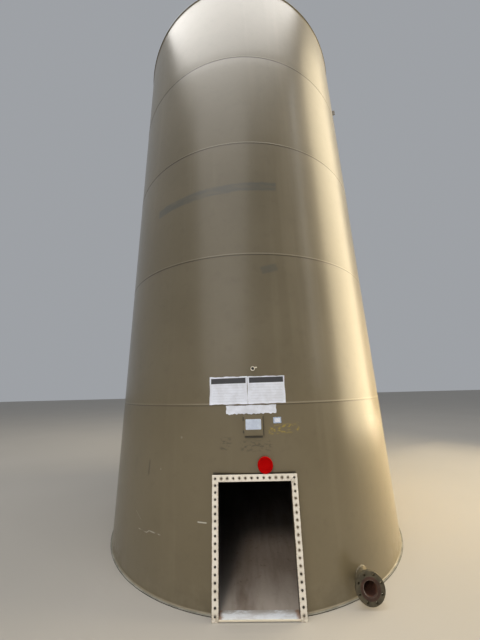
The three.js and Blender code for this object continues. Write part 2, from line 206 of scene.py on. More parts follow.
INCH = 0.0254
SHELL_RADIUS = 72 * INCH
BOTTOM_RADIUS = SHELL_RADIUS + 3 / 4 * INCH
BOTTOM_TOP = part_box("bottom_plate_front")[1].z
PLATE_EDGE = 0.0012

floor_paint = Paint("floor_plate")
x, y, z = floor_paint.axes()
radius = x.hypot(y)
silt = floor_paint.noise(2.2, 5, 0.62, (1, 0.3, 1))
drag_marks = floor_paint.noise(16, 3, 0.6, (1, 0.09, 1))
grit = floor_paint.noise(70, 3, 0.6)
rust_spots = floor_paint.noise(14, 4, 0.7).over(0.56, 0.7)
near_door = y.over(-1.15, -1.78)
colour = floor_paint.mix(silt.over(0.35, 0.65), (0.24, 0.19, 0.15), (0.34, 0.28, 0.23))
colour = floor_paint.mix(drag_marks.over(0.45, 0.7) * 0.35, colour, (0.18, 0.14, 0.11))
colour = floor_paint.mix(rust_spots * 0.45, colour, (0.11, 0.06, 0.036))
colour = floor_paint.mix(near_door * silt.over(0.3, 0.55) * 0.85, colour, (0.5, 0.44, 0.38))
ledge = floor_paint.mix(floor_paint.noise(9, 4).over(0.38, 0.66), (0.2, 0.195, 0.16), (0.31, 0.3, 0.25))
# The ledge's upright outer edge is painted dark as shade.
shaded_ledge_edge = z.over(BOTTOM_TOP - 0.0003, BOTTOM_TOP - 0.0012)
ledge = floor_paint.mix(shaded_ledge_edge, ledge, (0.03, 0.027, 0.022))
colour = floor_paint.mix(radius.over(SHELL_RADIUS - 0.004, SHELL_RADIUS), colour, ledge)
floor_finish = floor_paint.finish(
    base_color=colour,
    roughness=0.92 - 0.2 * grit.over(0.3, 0.7),
    normal=floor_paint.bump(silt * 0.6 + grit * 0.4, 2.5),
)

bottom_profile = [
    (0, 0),
    (BOTTOM_RADIUS - PLATE_EDGE, 0),
    (BOTTOM_RADIUS, PLATE_EDGE),
    (BOTTOM_RADIUS, BOTTOM_TOP - PLATE_EDGE),
    (BOTTOM_RADIUS - PLATE_EDGE, BOTTOM_TOP),
    (SHELL_RADIUS * 0.66, BOTTOM_TOP),
    (SHELL_RADIUS * 0.33, BOTTOM_TOP),
    (0, BOTTOM_TOP),
]
bottom = make("bottom", *turned(bottom_profile, (0, 0, 0), (0, 0, 1), 288), floor_finish, "floor_steel")
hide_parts("bottom_plate_front", "bottom_plate_rear")


# Shell. Five rings of three-sixteenths plate, each rolled from two plates and sprayed tan on the
# outside. Rolling and welding leave the plate a millimetre or so out of round, and the paint has a
# fine orange peel, dry-spray mottling, dust that runs down it, touched-up bands, scuffs and scrawls.
COURSES = 5
COURSE_HEIGHT = 60 * INCH
SHELL_WALL = 3 / 16 * INCH
SHELL_TOP = BOTTOM_TOP + COURSES * COURSE_HEIGHT
DECK_THICKNESS = 3 / 16 * INCH
DECK_RISE = 1 / 12
DOOR_HALF = 0.31145
DOOR_TOP = 0.9274
SHELL_STEP = 0.045
WELD_MARGIN = 0.15
HALF_GIRTH = math.pi * SHELL_RADIUS


class Layout:
    """A quad layout in a plane: lines at us and vs, less the cells left out or punched for holes."""

    def __init__(self, us, vs, wrap=False):
        self.lines = [us, vs]
        shown = us[:-1] if wrap else us
        self.points = np.stack(np.meshgrid(shown, vs, indexing="ij"), axis=-1).reshape(-1, 2)
        self.index = np.arange(len(self.points)).reshape(len(shown), len(vs))
        if wrap:
            self.index = np.vstack([self.index, self.index[:1]])
        self.kept = np.ones((len(us) - 1, len(vs) - 1), bool)
        self.rings = []

    def cells(self, low, high):
        """The block of cells between two corners that lie on the lines."""
        pairs = zip(self.lines, low, high)
        return [slice(int(np.abs(at - a).argmin()), int(np.abs(at - b).argmin())) for at, a, b in pairs]

    def leave_out(self, low, high):
        """Takes a block of cells out and leaves its edge open."""
        self.kept[tuple(self.cells(low, high))] = False

    def punch(self, low, high, centre, rim, rounds=2):
        """Takes a block of cells out and fills it, from its border in to a hole. rim gives the hole's
        points for an array of angles round its centre."""
        u, v = self.cells(low, high)
        self.kept[u, v] = False
        border = [
            self.index[u.start : u.stop, v.start],
            self.index[u.stop, v.start : v.stop],
            self.index[u.stop : u.start : -1, v.stop],
            self.index[u.start, v.stop : v.start : -1],
        ]
        border = np.concatenate(border)
        outer = self.points[border]
        inner = rim(np.arctan2(outer[:, 1] - centre[1], outer[:, 0] - centre[0]))
        share = (np.arange(1, rounds + 1) / rounds)[:, None, None]
        between = (outer * (1 - share) + inner * share).reshape(-1, 2)
        ring = np.arange(len(self.points), len(self.points) + len(between)).reshape(rounds, -1)
        ring = np.vstack([border, ring])
        ring = np.hstack([ring, ring[:, :1]])
        self.points = np.concatenate([self.points, between])
        quads = np.stack([ring[:-1, :-1], ring[:-1, 1:], ring[1:, 1:], ring[1:, :-1]], axis=-1)
        self.rings.append(quads.reshape(-1, 4))

    def plate(self, front, back):
        """The layout with thickness. front and back map its points into space, and each edge that only
        one quad uses gets a wall between the two."""
        i = self.index
        corners = i[:-1, :-1], i[1:, :-1], i[1:, 1:], i[:-1, 1:]
        quads = np.concatenate([np.stack(corners, axis=-1)[self.kept], *self.rings])
        edges = np.concatenate([quads[:, [a, (a + 1) % 4]] for a in range(4)])
        unordered = np.sort(edges, axis=1)
        _, first, uses = np.unique(unordered, axis=0, return_index=True, return_counts=True)
        rim = edges[first[uses == 1]]
        count = len(self.points)
        walls = np.c_[rim[:, 1], rim[:, 0], rim[:, 0] + count, rim[:, 1] + count]
        points = np.concatenate([front(self.points), back(self.points)])
        quads = np.concatenate([quads, quads[:, ::-1] + count, walls])
        used = np.unique(quads)
        order = np.zeros(len(points), int)
        order[used] = np.arange(len(used))
        return points[used], order[quads]


def ruled(stops, step):
    """Lines at each stop, and evenly between them about a step apart."""
    counts = [max(1, round((b - a) / step)) for a, b in zip(stops[:-1], stops[1:])]
    spans = [np.linspace(a, b, n, endpoint=False) for a, b, n in zip(stops[:-1], stops[1:], counts)]
    return np.append(np.concatenate(spans), stops[-1])


def out_of_round(around, height):
    """How far the plate stands from a true drum: three long waves of rolling, and a slight pull-in
    beside each girth weld. It dies out at the bottom and at the top."""
    turn = around / SHELL_RADIUS
    waves = 0.9 * np.sin(3 * turn + 1.1 * height) + 0.6 * np.sin(7 * turn - 1.7 * height + 2)
    waves = 0.6 * (waves + 0.35 * np.sin(13 * turn + 2.9 * height))
    from_weld = np.abs((height - BOTTOM_TOP + COURSE_HEIGHT / 2) % COURSE_HEIGHT - COURSE_HEIGHT / 2)
    pull = -1.1 * np.exp(-((from_weld / 0.07) ** 2))
    hold = np.clip((height - BOTTOM_TOP) / 0.25, 0, 1) * np.clip((SHELL_TOP - height) / 0.25, 0, 1)
    return (waves + pull) * hold / 1000


def on_drum(points, lift=0.0):
    """(distance round the drum from the front, height) in space, lifted off the shell's outer face."""
    around, height = points[..., 0], points[..., 1]
    reach = SHELL_RADIUS + out_of_round(around, height) + lift
    turn = around / SHELL_RADIUS
    return np.stack([reach * np.sin(turn), -reach * np.cos(turn), height], axis=-1)


def pipe_rim(around, x, z, radius):
    """The hole that a pipe along Y makes in the drum, a true circle seen from the front or back. x is
    counted the way the distance round the drum grows. Each point's x on the circle gives its turn
    round the drum through the arc sine."""

    def rim(angle):
        shift = np.arcsin((x + radius * np.cos(angle)) / SHELL_RADIUS) - math.asin(x / SHELL_RADIUS)
        return np.stack([around + SHELL_RADIUS * shift, z + radius * np.sin(angle)], axis=1)

    return rim


TAN = (0.142, 0.117, 0.07)
TAN_PALE = (0.182, 0.152, 0.096)
TAN_DARK = (0.094, 0.077, 0.045)
DUST = (0.31, 0.27, 0.195)
TOUCH_UP = (0.088, 0.088, 0.072)
DEGREES = 180 / math.pi
METRES_PER_DEGREE = SHELL_RADIUS / DEGREES

# The sprayed coat is cloudy, dry in places, and has dust run down it. turn is in degrees round the
# drum from the front, and grows to the right.
tan_paint = Paint("tan_paint", coat_weight=0.2, coat_roughness=0.16)
x, y, z = tan_paint.axes()
radius = x.hypot(y)
turn = x.math("ARCTAN2", y * -1) * DEGREES
cone_tip = SHELL_TOP + SHELL_RADIUS * DECK_RISE + DECK_THICKNESS / 2
under_deck = (z - cone_tip + radius * DECK_RISE).over(0.0005, -0.0005)
inside = radius.over(SHELL_RADIUS - 0.003, SHELL_RADIUS - 0.004) * under_deck
mottle = tan_paint.noise(1.3, 4, 0.55)
dry_spray = tan_paint.noise(9, 5, 0.65)
speckle = tan_paint.noise(160, 2, 0.6)
runs = tan_paint.noise(3.2, 4, 0.6, (1, 1, 0.06))
edge_wander = tan_paint.noise(6, 3, 0.6)
colour = tan_paint.mix(mottle.over(0.32, 0.68) * 0.4, TAN, TAN_PALE)
colour = tan_paint.mix(dry_spray.over(0.5, 0.75) * 0.2, colour, TAN_DARK)
colour = tan_paint.mix(runs.over(0.54, 0.72) * 0.12, colour, DUST)
colour = tan_paint.mix(speckle.over(0.68, 0.74) * 0.3, colour, (0.11, 0.092, 0.06))

# Painted shadow and dirt hang under each girth weld, deeper the higher up and darker on the left, and a
# painted highlight with dust lies along the weld, fainter on the left.
from_weld = z.nearest(BOTTOM_TOP, COURSE_HEIGHT)
on_shell = z.over(0.5, 0.6) * z.over(SHELL_TOP - 0.5, SHELL_TOP - 0.6)
shadow_line_foot = from_weld.over(-0.009 - 0.0025 * z, -0.0065 - 0.0022 * z)
shadow_and_dirt_line = shadow_line_foot * from_weld.over(-0.004, -0.0065) * on_shell
highlight_and_dust_line = from_weld.within(0.002, 0.014, 0.003) * on_shell
left_side = turn.over(-8, -30)
shadow_and_dirt_strength = 0.5 + 0.35 * dry_spray + 0.2 * left_side
colour = tan_paint.mix(shadow_and_dirt_line * shadow_and_dirt_strength, colour, (0.048, 0.036, 0.024))
colour = tan_paint.mix(highlight_and_dust_line * (0.45 - 0.3 * left_side), colour, DUST)

# A band and a patch were touched up in a greyer tan.
band_middle = 3.921 + turn * 0.0014 + (edge_wander - 0.5) * 0.05
band = turn.within(-37.3, 11.75, 0.4) * (z - band_middle).size().over(0.066, 0.044)
band = band * (0.45 + 0.55 * tan_paint.noise(3, 4, 0.7, (1, 1, 5)).over(0.35, 0.6))
colour = tan_paint.mix(band * 0.8, colour, TOUCH_UP)
patch = (turn + z * 9).within(30.3, 36.1, 0.6) * (z - turn * 0.009).within(2.7715, 2.859, 0.018)
colour = tan_paint.mix(patch * (0.35 + 0.4 * dry_spray), colour, TOUCH_UP)

# Scratches, scuffs and specks show pale, and one rub shows dark.
scratch = turn.within(-15.5, -13, 0.25) * (z - edge_wander * 0.01).within(0.589, 0.597, 0.0025)
scuff_level = 0.426 + turn.over(-33.2, -31.8) * 0.02
scuffs = turn.within(-36.9, -27.5, 0.4) * (z - scuff_level).within(-0.004, 0.004, 0.003)
scuffs = scuffs * tan_paint.noise(30, 3, 0.6, (0.5, 0.5, 1)).over(0.4, 0.56)
scrape = (turn + z * 54).within(-8.95, -8.7, 0.25) * z.within(0.503, 0.558, 0.006)
specks = ((turn + 21.2) * METRES_PER_DEGREE).hypot(z - 1.246).over(0.014, 0.006)
specks = specks + ((turn + 28.5) * METRES_PER_DEGREE).hypot(z - 0.96).over(0.012, 0.005)
light_marks = scratch + scuffs * 0.6 + scrape * 0.3 + specks * 0.2
colour = tan_paint.mix(light_marks.math("MINIMUM", 1.0), colour, (0.5, 0.48, 0.42))
rub = (turn - z * 2.6).within(-36.35, -35.75, 0.25) * z.within(0.89, 1.02, 0.02)
colour = tan_paint.mix(rub * 0.65, colour, (0.055, 0.046, 0.032))

# A smear of yellow chalk and two greasy smudges lie below the tag and the strip.
chalk = turn.within(4.5, 13.1, 0.6) * (z - 0.0016 * turn).within(1.268, 1.336, 0.014)
chalk = chalk * tan_paint.noise(44, 3, 0.6, (0.5, 0.5, 1.1)).over(0.47, 0.6)
colour = tan_paint.mix(chalk * 0.68, colour, (0.38, 0.28, 0.035))
smudge = turn.within(-9.2, -6.1, 0.5) * z.within(1.145, 1.257, 0.02)
smudge = smudge + turn.within(-3.5, 5.1, 0.6) * z.within(1.145, 1.224, 0.02)
smudge = smudge * tan_paint.noise(44, 3, 0.6, (0.5, 0.5, 1.1)).over(0.48, 0.62)
colour = tan_paint.mix(smudge * 0.6, colour, (0.065, 0.055, 0.038))

# Painted shadow lies round the nameplate bracket: two dark notches beside its left edge, a line down
# its right edge and a line under it.
notches = z.within(1.391, 1.425, 0.004) + z.within(1.288, 1.31, 0.004)
bracket_painted_shadow = turn.within(-2.75, -2.3, 0.12) * notches
bracket_painted_shadow = bracket_painted_shadow + turn.within(2.75, 3.15, 0.12) * z.within(1.265, 1.428, 0.005)
bracket_painted_shadow = bracket_painted_shadow + turn.within(-2.3, 2.7, 0.15) * z.within(1.248, 1.268, 0.004)
colour = tan_paint.mix(bracket_painted_shadow.math("MINIMUM", 1.0) * 0.7, colour, (0.03, 0.025, 0.017))

# Dust splashes up the foot, painted shade lies on the shell behind the clean-out frame, left out where
# its header and right jamb holes show the shell, and the inside has a dark lining that rusts in
# streaks.
splash = z.over(0.3, 0.01) * tan_paint.noise(11, 5, 0.65).over(0.42, 0.7)
colour = tan_paint.mix(splash * 0.16, colour, DUST)
colour = tan_paint.mix(z.over(0.02, 0.009) * 0.5, colour, DUST)
painted_shade_behind_frame = x.size().over(0.36, 0.35) * z.over(0.98, 0.97) * y.over(-1.7, -1.75)
shown = x.size().over(0.315, 0.305) * z.within(0.905, 0.945, 0.004)
shown = shown + x.over(0.3, 0.305) * z.within(0.28, 0.82, 0.01)
painted_shade_behind_frame = painted_shade_behind_frame * (1 - shown.math("MINIMUM", 1.0))
colour = tan_paint.mix(painted_shade_behind_frame * 0.85, colour, (0.02, 0.017, 0.012))
lining_rust = tan_paint.noise(4, 5, 0.65, (1, 1, 0.3)).over(0.48, 0.68)
lining = tan_paint.mix(lining_rust * 0.6, (0.045, 0.046, 0.048), (0.07, 0.04, 0.026))
colour = tan_paint.mix(inside, colour, lining)
peel = tan_paint.bump(tan_paint.noise(420, 2, 0.5), 0.12)
peel = tan_paint.bump(tan_paint.noise(30, 3, 0.5), 0.12, peel)
tan_finish = tan_paint.finish(
    base_color=colour,
    roughness=0.265 + 0.05 * dry_spray + 0.04 * mottle + 0.2 * splash + 0.3 * inside,
    normal=peel,
)

PIPE_RADIUS = 4.5 / 2 * INCH
GAUGE_RADIUS = 0.0205
HOLE_MARGIN = 0.025


def tan_piece(name, solid):
    """A piece in the tank's own finish, from its (points, quads)."""
    return make(name, *solid, tan_finish, "tan_paint")


def middle_of(node):
    """The x and z of the middle of a CAD node's box."""
    low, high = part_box(node)
    return (low.x + high.x) / 2, (low.z + high.z) / 2


OUTLET_X, OUTLET_Z = middle_of("outlet_flange")
UPPER_X, UPPER_Z = middle_of("upper_nozzle_flange")
GAUGE_X, GAUGE_Z = middle_of("gauge_coupling")

for course in range(COURSES):
    low = BOTTOM_TOP + course * COURSE_HEIGHT
    high = low + COURSE_HEIGHT
    around_stops = [-HALF_GIRTH, HALF_GIRTH]
    height_stops = [low, low + WELD_MARGIN, high - WELD_MARGIN, high]
    hole = None
    if course == 0:
        door = SHELL_RADIUS * math.asin(DOOR_HALF / SHELL_RADIUS)
        hole = SHELL_RADIUS * math.asin(OUTLET_X / SHELL_RADIUS), OUTLET_X, OUTLET_Z, PIPE_RADIUS
    if course == 1:
        hole = SHELL_RADIUS * math.asin(GAUGE_X / SHELL_RADIUS), GAUGE_X, GAUGE_Z, GAUGE_RADIUS
    if course == COURSES - 1:
        hole = HALF_GIRTH, 0, UPPER_Z, PIPE_RADIUS
        around_stops = [0, 2 * HALF_GIRTH]
    if hole:
        around, across, level, bore = hole
        half_height = bore + HOLE_MARGIN
        half_width = half_height / math.sqrt(1 - (across / SHELL_RADIUS) ** 2)
        around_stops = sorted([*around_stops, around - half_width, around + half_width])
        height_stops = [low, level - half_height, level + half_height, high - WELD_MARGIN, high]
    if course == 0:
        around_stops = sorted([*around_stops, -door, door])
        height_stops = sorted([*height_stops, DOOR_TOP])
    layout = Layout(ruled(around_stops, SHELL_STEP), ruled(height_stops, SHELL_STEP), wrap=True)
    if course == 0:
        layout.leave_out((-door, low), (door, DOOR_TOP))
    if hole:
        block = (around - half_width, level - half_height), (around + half_width, level + half_height)
        layout.punch(*block, (around, level), pipe_rim(around, across, level, bore), rounds=3)
    solid = layout.plate(on_drum, lambda points: on_drum(points, -SHELL_WALL))
    ring = tan_piece(f"course_{course + 1}", solid)
    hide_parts(f"course_{course + 1}_front", f"course_{course + 1}_back")


# Seam welds. Each joint in the shell is a butt weld whose bead stands about two millimetres proud
# inside and out. A fillet weld joins the shell to the bottom, all round but for the clean-out.
BEAD_WIDTH = 0.011
BEAD_RISE = 0.0022
BEAD_ROOT = 0.002
GIRTH_STATIONS = 360
SEAM_STATIONS = 60
SEAM_STAGGER = math.radians(7.5)
DOOR_CLEAR = 0.32
WELD_LEG = 0.006


def joined(*solids):
    """Several (points, quads) pairs as one pair."""
    starts = np.cumsum([0] + [len(points) for points, _ in solids[:-1]])
    points = np.concatenate([points for points, _ in solids])
    return points, np.concatenate([quads + start for start, (_, quads) in zip(starts, solids)])


def carried(path, across, out, profile, closed=False):
    """A closed profile of (across, out) carried along a path: path + a * across + o * out. On an open
    path the profile tapers to a point at each end, which closes the ends."""
    path = np.asarray(path, float)
    across, out = np.broadcast_to(across, path.shape), np.broadcast_to(out, path.shape)
    taper = np.ones(len(path))
    if not closed:
        taper[[0, -1]] = 0
        taper[[1, -2]] = 0.8
    a, o = profile[:, 0][None, :, None], profile[:, 1][None, :, None]
    points = path[:, None] + taper[:, None, None] * (a * across[:, None] + o * out[:, None])
    return points.reshape(-1, 3), grid(len(path), len(profile), closed, True)


def bead(width, rise):
    """Section of a butt weld's cap: half an ellipse over a flat root sunk into the plate."""
    angle = np.linspace(0, np.pi, 8)
    cap = np.stack([width / 2 * np.cos(angle), rise * np.sin(angle)], axis=1)
    return np.vstack([cap, [(-width / 2, -BEAD_ROOT), (width / 2, -BEAD_ROOT)]])


def fillet(leg, root=BEAD_ROOT):
    """Section of a fillet weld in a corner at (0, 0): a face that bulges a little between two legs."""
    angle = np.linspace(0, np.pi / 2, 6)
    reach = leg * (0.62 + 0.38 * np.abs(np.cos(2 * angle)) ** 1.5)
    face = np.stack([reach * np.cos(angle), reach * np.sin(angle)], axis=1)
    return np.vstack([face, [(-root, leg), (-root, -root), (leg, -root)]])


def outwards(around):
    """The drum's outward directions at distances round it."""
    turn = np.asarray(around) / SHELL_RADIUS
    return np.stack([np.sin(turn), -np.cos(turn), np.zeros_like(turn)], axis=-1)


girth_around = np.linspace(-HALF_GIRTH, HALF_GIRTH, GIRTH_STATIONS, endpoint=False)
girth_out = outwards(girth_around)
seam_bead = bead(BEAD_WIDTH, BEAD_RISE)
outer_beads = []
inner_beads = []
for course in range(1, COURSES):
    level = np.full(GIRTH_STATIONS, BOTTOM_TOP + course * COURSE_HEIGHT)
    path = np.stack([girth_around, level], axis=1)
    inner_path = on_drum(path, -SHELL_WALL)
    outer_beads.append(carried(on_drum(path), (0, 0, 1), girth_out, seam_bead, closed=True))
    inner_beads.append(carried(inner_path, (0, 0, 1), -girth_out, seam_bead, closed=True))
for course in range(COURSES):
    stagger = SEAM_STAGGER * (1 if course % 2 else -1)
    low = BOTTOM_TOP + course * COURSE_HEIGHT
    for turn in (math.pi / 2 + stagger, stagger - math.pi / 2):
        height = np.linspace(low + WELD_LEG / 2, low + COURSE_HEIGHT - WELD_LEG / 2, SEAM_STATIONS)
        path = np.stack([np.full(SEAM_STATIONS, turn * SHELL_RADIUS), height], axis=1)
        out = outwards(path[:, 0])
        tangent = np.cross((0, 0, 1), out)
        outer_beads.append(carried(on_drum(path), tangent, out, seam_bead))
        inner_beads.append(carried(on_drum(path, -SHELL_WALL), tangent, -out, seam_bead))
tan_piece("shell_welds_outer", joined(*outer_beads))

door_edge = SHELL_RADIUS * math.asin(DOOR_CLEAR / SHELL_RADIUS)
base_around = np.linspace(door_edge, 2 * HALF_GIRTH - door_edge, GIRTH_STATIONS)
base_out = outwards(base_around)
base_path = np.stack([base_around, np.full(GIRTH_STATIONS, BOTTOM_TOP)], axis=1)
base_weld = carried(on_drum(base_path), (0, 0, 1), base_out, fillet(WELD_LEG))
tan_piece("base_weld", base_weld)
base_inside = on_drum(base_path, -SHELL_WALL)
inner_beads.append(carried(base_inside, (0, 0, 1), -base_out, fillet(WELD_LEG)))
tan_piece("shell_welds_inner", joined(*inner_beads))


# Deck. A low cone of three-sixteenths plate in two halves, welded over the shell's top with a small
# overhang, a seam across the middle and a fillet under the rim. It sags a little between its welds.
DECK_RIM = 1.8383
DECK_SAG = 0.002
STEP_AROUND = 0.028
STEP_OUTWARDS = 0.05
CLEARANCE = 0.0003
RIM_LEG = 0.005
HATCH_RADIUS = 8.625 / 2 * INCH
VENT_X = 34 * INCH
VENT_Y = 22 * INCH
VENT_REACH = math.hypot(VENT_X, VENT_Y)
VENT_ANGLE = math.atan2(VENT_Y, VENT_X)
VENT_AROUND = VENT_REACH * VENT_ANGLE


def deck_height(radius):
    """The cone's underside at a radius."""
    return SHELL_TOP + CLEARANCE + (SHELL_RADIUS - radius) * DECK_RISE


def on_deck(points, lift=0.0):
    """(distance round the vent's circle, radius) on the cone, which sags up to two millimetres."""
    angle, radius = points[..., 0] / VENT_REACH, points[..., 1]
    middle = np.sin(np.pi * np.clip((radius - HATCH_RADIUS) / (DECK_RIM - 0.05 - HATCH_RADIUS), 0, 1))
    sag = -DECK_SAG * middle * (0.6 + 0.4 * np.sin(5 * angle + 1)) * np.abs(np.cos(angle)) ** 0.5
    height = deck_height(radius) + sag + lift
    return np.stack([radius * np.cos(angle), radius * np.sin(angle), height], axis=-1)


def vent_rim(angle):
    """The vent coupling's hole as (distance round, radius). Angle 0 lies round the deck from the hole's
    centre and a quarter turn lies outwards from it."""
    x = VENT_X + PIPE_RADIUS * np.sin(angle - VENT_ANGLE)
    y = VENT_Y + PIPE_RADIUS * np.cos(angle - VENT_ANGLE)
    return np.stack([VENT_REACH * np.arctan2(y, x), np.hypot(x, y)], axis=1)


margin = PIPE_RADIUS + HOLE_MARGIN
half_circle = math.pi * VENT_REACH
around_stops = [-half_circle, VENT_AROUND - margin, VENT_AROUND + margin, half_circle]
radius_stops = [HATCH_RADIUS, VENT_REACH - margin, VENT_REACH + margin, DECK_RIM]
around_lines, radius_lines = ruled(around_stops, STEP_AROUND), ruled(radius_stops, STEP_OUTWARDS)
layout = Layout(around_lines, radius_lines, wrap=True)
corners = (VENT_AROUND - margin, VENT_REACH - margin), (VENT_AROUND + margin, VENT_REACH + margin)
layout.punch(*corners, (VENT_AROUND, VENT_REACH), vent_rim)
deck_solid = layout.plate(lambda points: on_deck(points, DECK_THICKNESS), on_deck)
deck = tan_piece("deck", deck_solid)
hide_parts("deck_plate_left", "deck_plate_right")

seam_radii = np.linspace(HATCH_RADIUS + 0.008, DECK_RIM - 0.004, SEAM_STATIONS)
deck_beads = []
for angle in (math.pi / 2, -math.pi / 2):
    seam = np.stack([np.full(SEAM_STATIONS, angle * VENT_REACH), seam_radii], axis=1)
    deck_beads.append(carried(on_deck(seam, DECK_THICKNESS), (1, 0, 0), (0, 0, 1), seam_bead))
rim_path = np.stack([girth_around, np.full(GIRTH_STATIONS, SHELL_TOP + CLEARANCE)], axis=1)
deck_beads.append(carried(on_drum(rim_path), (0, 0, -1), girth_out, fillet(RIM_LEG), closed=True))
tan_piece("deck_welds", joined(*deck_beads))


# Lugs. Half-inch lifting lugs stand on the deck above the shell, left and right. Three walkway lugs of
# three-eighths plate stand on the right side. Each is flame cut, drilled, and fillet welded both sides.
LUG_EDGE = 0.0012


def rounded_outline(corners, radii, steps=7):
    """A convex outline, anticlockwise, whose corners are arcs. Each arc's centre lies on the corner's
    bisector, and the points run evenly over its angle."""
    corners = np.asarray(corners, float)
    before = corners - np.roll(corners, 1, axis=0)
    after = np.roll(corners, -1, axis=0) - corners
    start = np.arctan2(before[:, 1], before[:, 0]) - np.pi / 2
    bend = np.arctan2(after[:, 1], after[:, 0]) - np.pi / 2 - start
    bend = (bend + np.pi) % (2 * np.pi) - np.pi
    inward = np.stack([np.cos(start + bend / 2), np.sin(start + bend / 2)], axis=1)
    radii = np.asarray(radii, float)
    centres = corners - inward * (radii / np.cos(bend / 2))[:, None]
    angle = start[:, None] + bend[:, None] * np.linspace(0, 1, steps)
    arcs = centres[:, None] + radii[:, None, None] * np.stack([np.cos(angle), np.sin(angle)], axis=-1)
    return arcs.reshape(-1, 2)


def holed_plate(outline, centre, hole, thickness, place):
    """A plate with one round hole of this radius. Front and back, each outline point is joined to the
    hole's point in the same direction, with a small chamfer. place maps (x, y, depth)."""
    away = outline - centre
    length = np.linalg.norm(away, axis=1, keepdims=True)
    away = away / length
    half = thickness / 2
    steps = [
        (length, half - LUG_EDGE),
        (length - LUG_EDGE, half),
        (hole + LUG_EDGE, half),
        (hole, half - LUG_EDGE),
        (hole, LUG_EDGE - half),
        (hole + LUG_EDGE, -half),
        (length - LUG_EDGE, -half),
        (length, LUG_EDGE - half),
    ]
    rings = [np.c_[centre + away * reach, np.full(len(outline), depth)] for reach, depth in steps]
    points = np.stack(rings, axis=1)
    return place(points.reshape(-1, 3)), grid(len(outline), len(steps), True, True)


def foot_weld(start, end, normal, rise, thickness, leg=WELD_LEG):
    """Two fillets along a plate's foot, one on each side of it."""
    path = np.linspace(start, end, 14)
    welds = []
    for way in (1, -1):
        across = np.asarray(normal, float) * way
        welds.append(carried(path + across * thickness / 2, across, rise, fillet(leg)))
    return welds


LIFT_INNER = 1.64
LIFT_OUTER = 1.79
LIFT_HEIGHT = 0.13
LIFT_THICKNESS = INCH / 2
LIFT_HOLE = 0.02
LIFT_LEG = 0.008
lift_foot = deck_height(LIFT_INNER) + DECK_THICKNESS + CLEARANCE
lift_reach = LIFT_OUTER - LIFT_INNER
lift_fall = lift_reach * DECK_RISE
lift_weld_ends = LIFT_INNER + 0.002, LIFT_OUTER - 0.002
lift_hole_middle = lift_reach / 2, LIFT_HEIGHT / 2
lift_corners = [(0, 0), (lift_reach, -lift_fall), (lift_reach, LIFT_HEIGHT), (0, LIFT_HEIGHT)]
lift_outline = rounded_outline(lift_corners, (0.002, 0.002, 0.04, 0.002))
for way, name in ((1, "lifting_lug_right"), (-1, "lifting_lug_left")):

    def stand(points):
        """Along the lug goes out along X, and depth goes along Y."""
        x, y = way * (LIFT_INNER + points[:, 0]), way * points[:, 2]
        return np.stack([x, y, lift_foot + points[:, 1]], axis=1)

    lug = holed_plate(lift_outline, lift_hole_middle, LIFT_HOLE, LIFT_THICKNESS, stand)
    ends = [(way * radius, 0, deck_height(radius) + DECK_THICKNESS) for radius in lift_weld_ends]
    slope = (way * DECK_RISE, 0, 1)
    welds = foot_weld(*ends, (0, 1, 0), slope, LIFT_THICKNESS, LIFT_LEG)
    piece = tan_piece(name + "_plate", joined(lug, *welds))
    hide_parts(name)

WALK_REACH = 0.056
WALK_HEIGHT = 0.11
WALK_THICKNESS = 3 / 8 * INCH
WALK_HOLE = 13 / 32 * INCH
WALK_HOLE_INSET = 0.026
walk_hole_middle = WALK_REACH - WALK_HOLE_INSET, WALK_HEIGHT / 2
walk_corners = [(0, 0), (WALK_REACH, 0), (WALK_REACH, WALK_HEIGHT), (0, WALK_HEIGHT)]
walk_outline = rounded_outline(walk_corners, (0.0015, 0.0015, 0.018, 0.0015))
for name, degrees, middle in (
    ("walkway_lug_front", 71.25, 6.68),
    ("walkway_lug_rear", 93.75, 6.68),
    ("walkway_lug_lower", 82.5, 5.7),
):
    around = math.radians(degrees) * SHELL_RADIUS
    out = outwards(around)
    tangent = np.cross((0, 0, 1), out)

    def stand(points):
        """Along the lug goes straight out from the drum, and depth goes round it."""
        reach = SHELL_RADIUS + CLEARANCE + points[:, :1]
        level = middle - WALK_HEIGHT / 2 + points[:, 1:2]
        return reach * out + level * (0, 0, 1) + points[:, 2:] * tangent

    lug = holed_plate(walk_outline, walk_hole_middle, WALK_HOLE, WALK_THICKNESS, stand)
    foot = on_drum(np.array([(around, middle - WALK_HEIGHT / 2), (around, middle + WALK_HEIGHT / 2)]))
    welds = foot_weld(foot[0], foot[1], tangent, out, WALK_THICKNESS)
    piece = tan_piece(name + "_plate", joined(lug, *welds))
    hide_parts(name)


# Deck hatch. An eight-inch pipe neck welded through the cone carries a seat ring and a pressed lid on a
# pin hinge. The lid's flat bail lifts it, and a swing latch at the front holds it shut.
HATCH_BORE = HATCH_RADIUS - 0.008
SEAT_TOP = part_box("hatch_neck")[1].z
SEAT_BOTTOM = SEAT_TOP - 0.012
NECK_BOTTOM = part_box("hatch_neck")[0].z
SEAT_RADIUS = 0.15
LID_RADIUS = 0.142
LID_RIM = 0.018
LID_DOME = 0.016
LID_BOTTOM = SEAT_TOP + CLEARANCE
BAIL_WIDE = 0.12
BAIL_REACH = 0.128
BAIL_ROD = 0.004
LATCH_HALF = 0.012
HINGE_HALF = 0.03
HINGE_SLOT = 0.014
PIN_RADIUS = 0.01
HATCH_LEG = 0.007


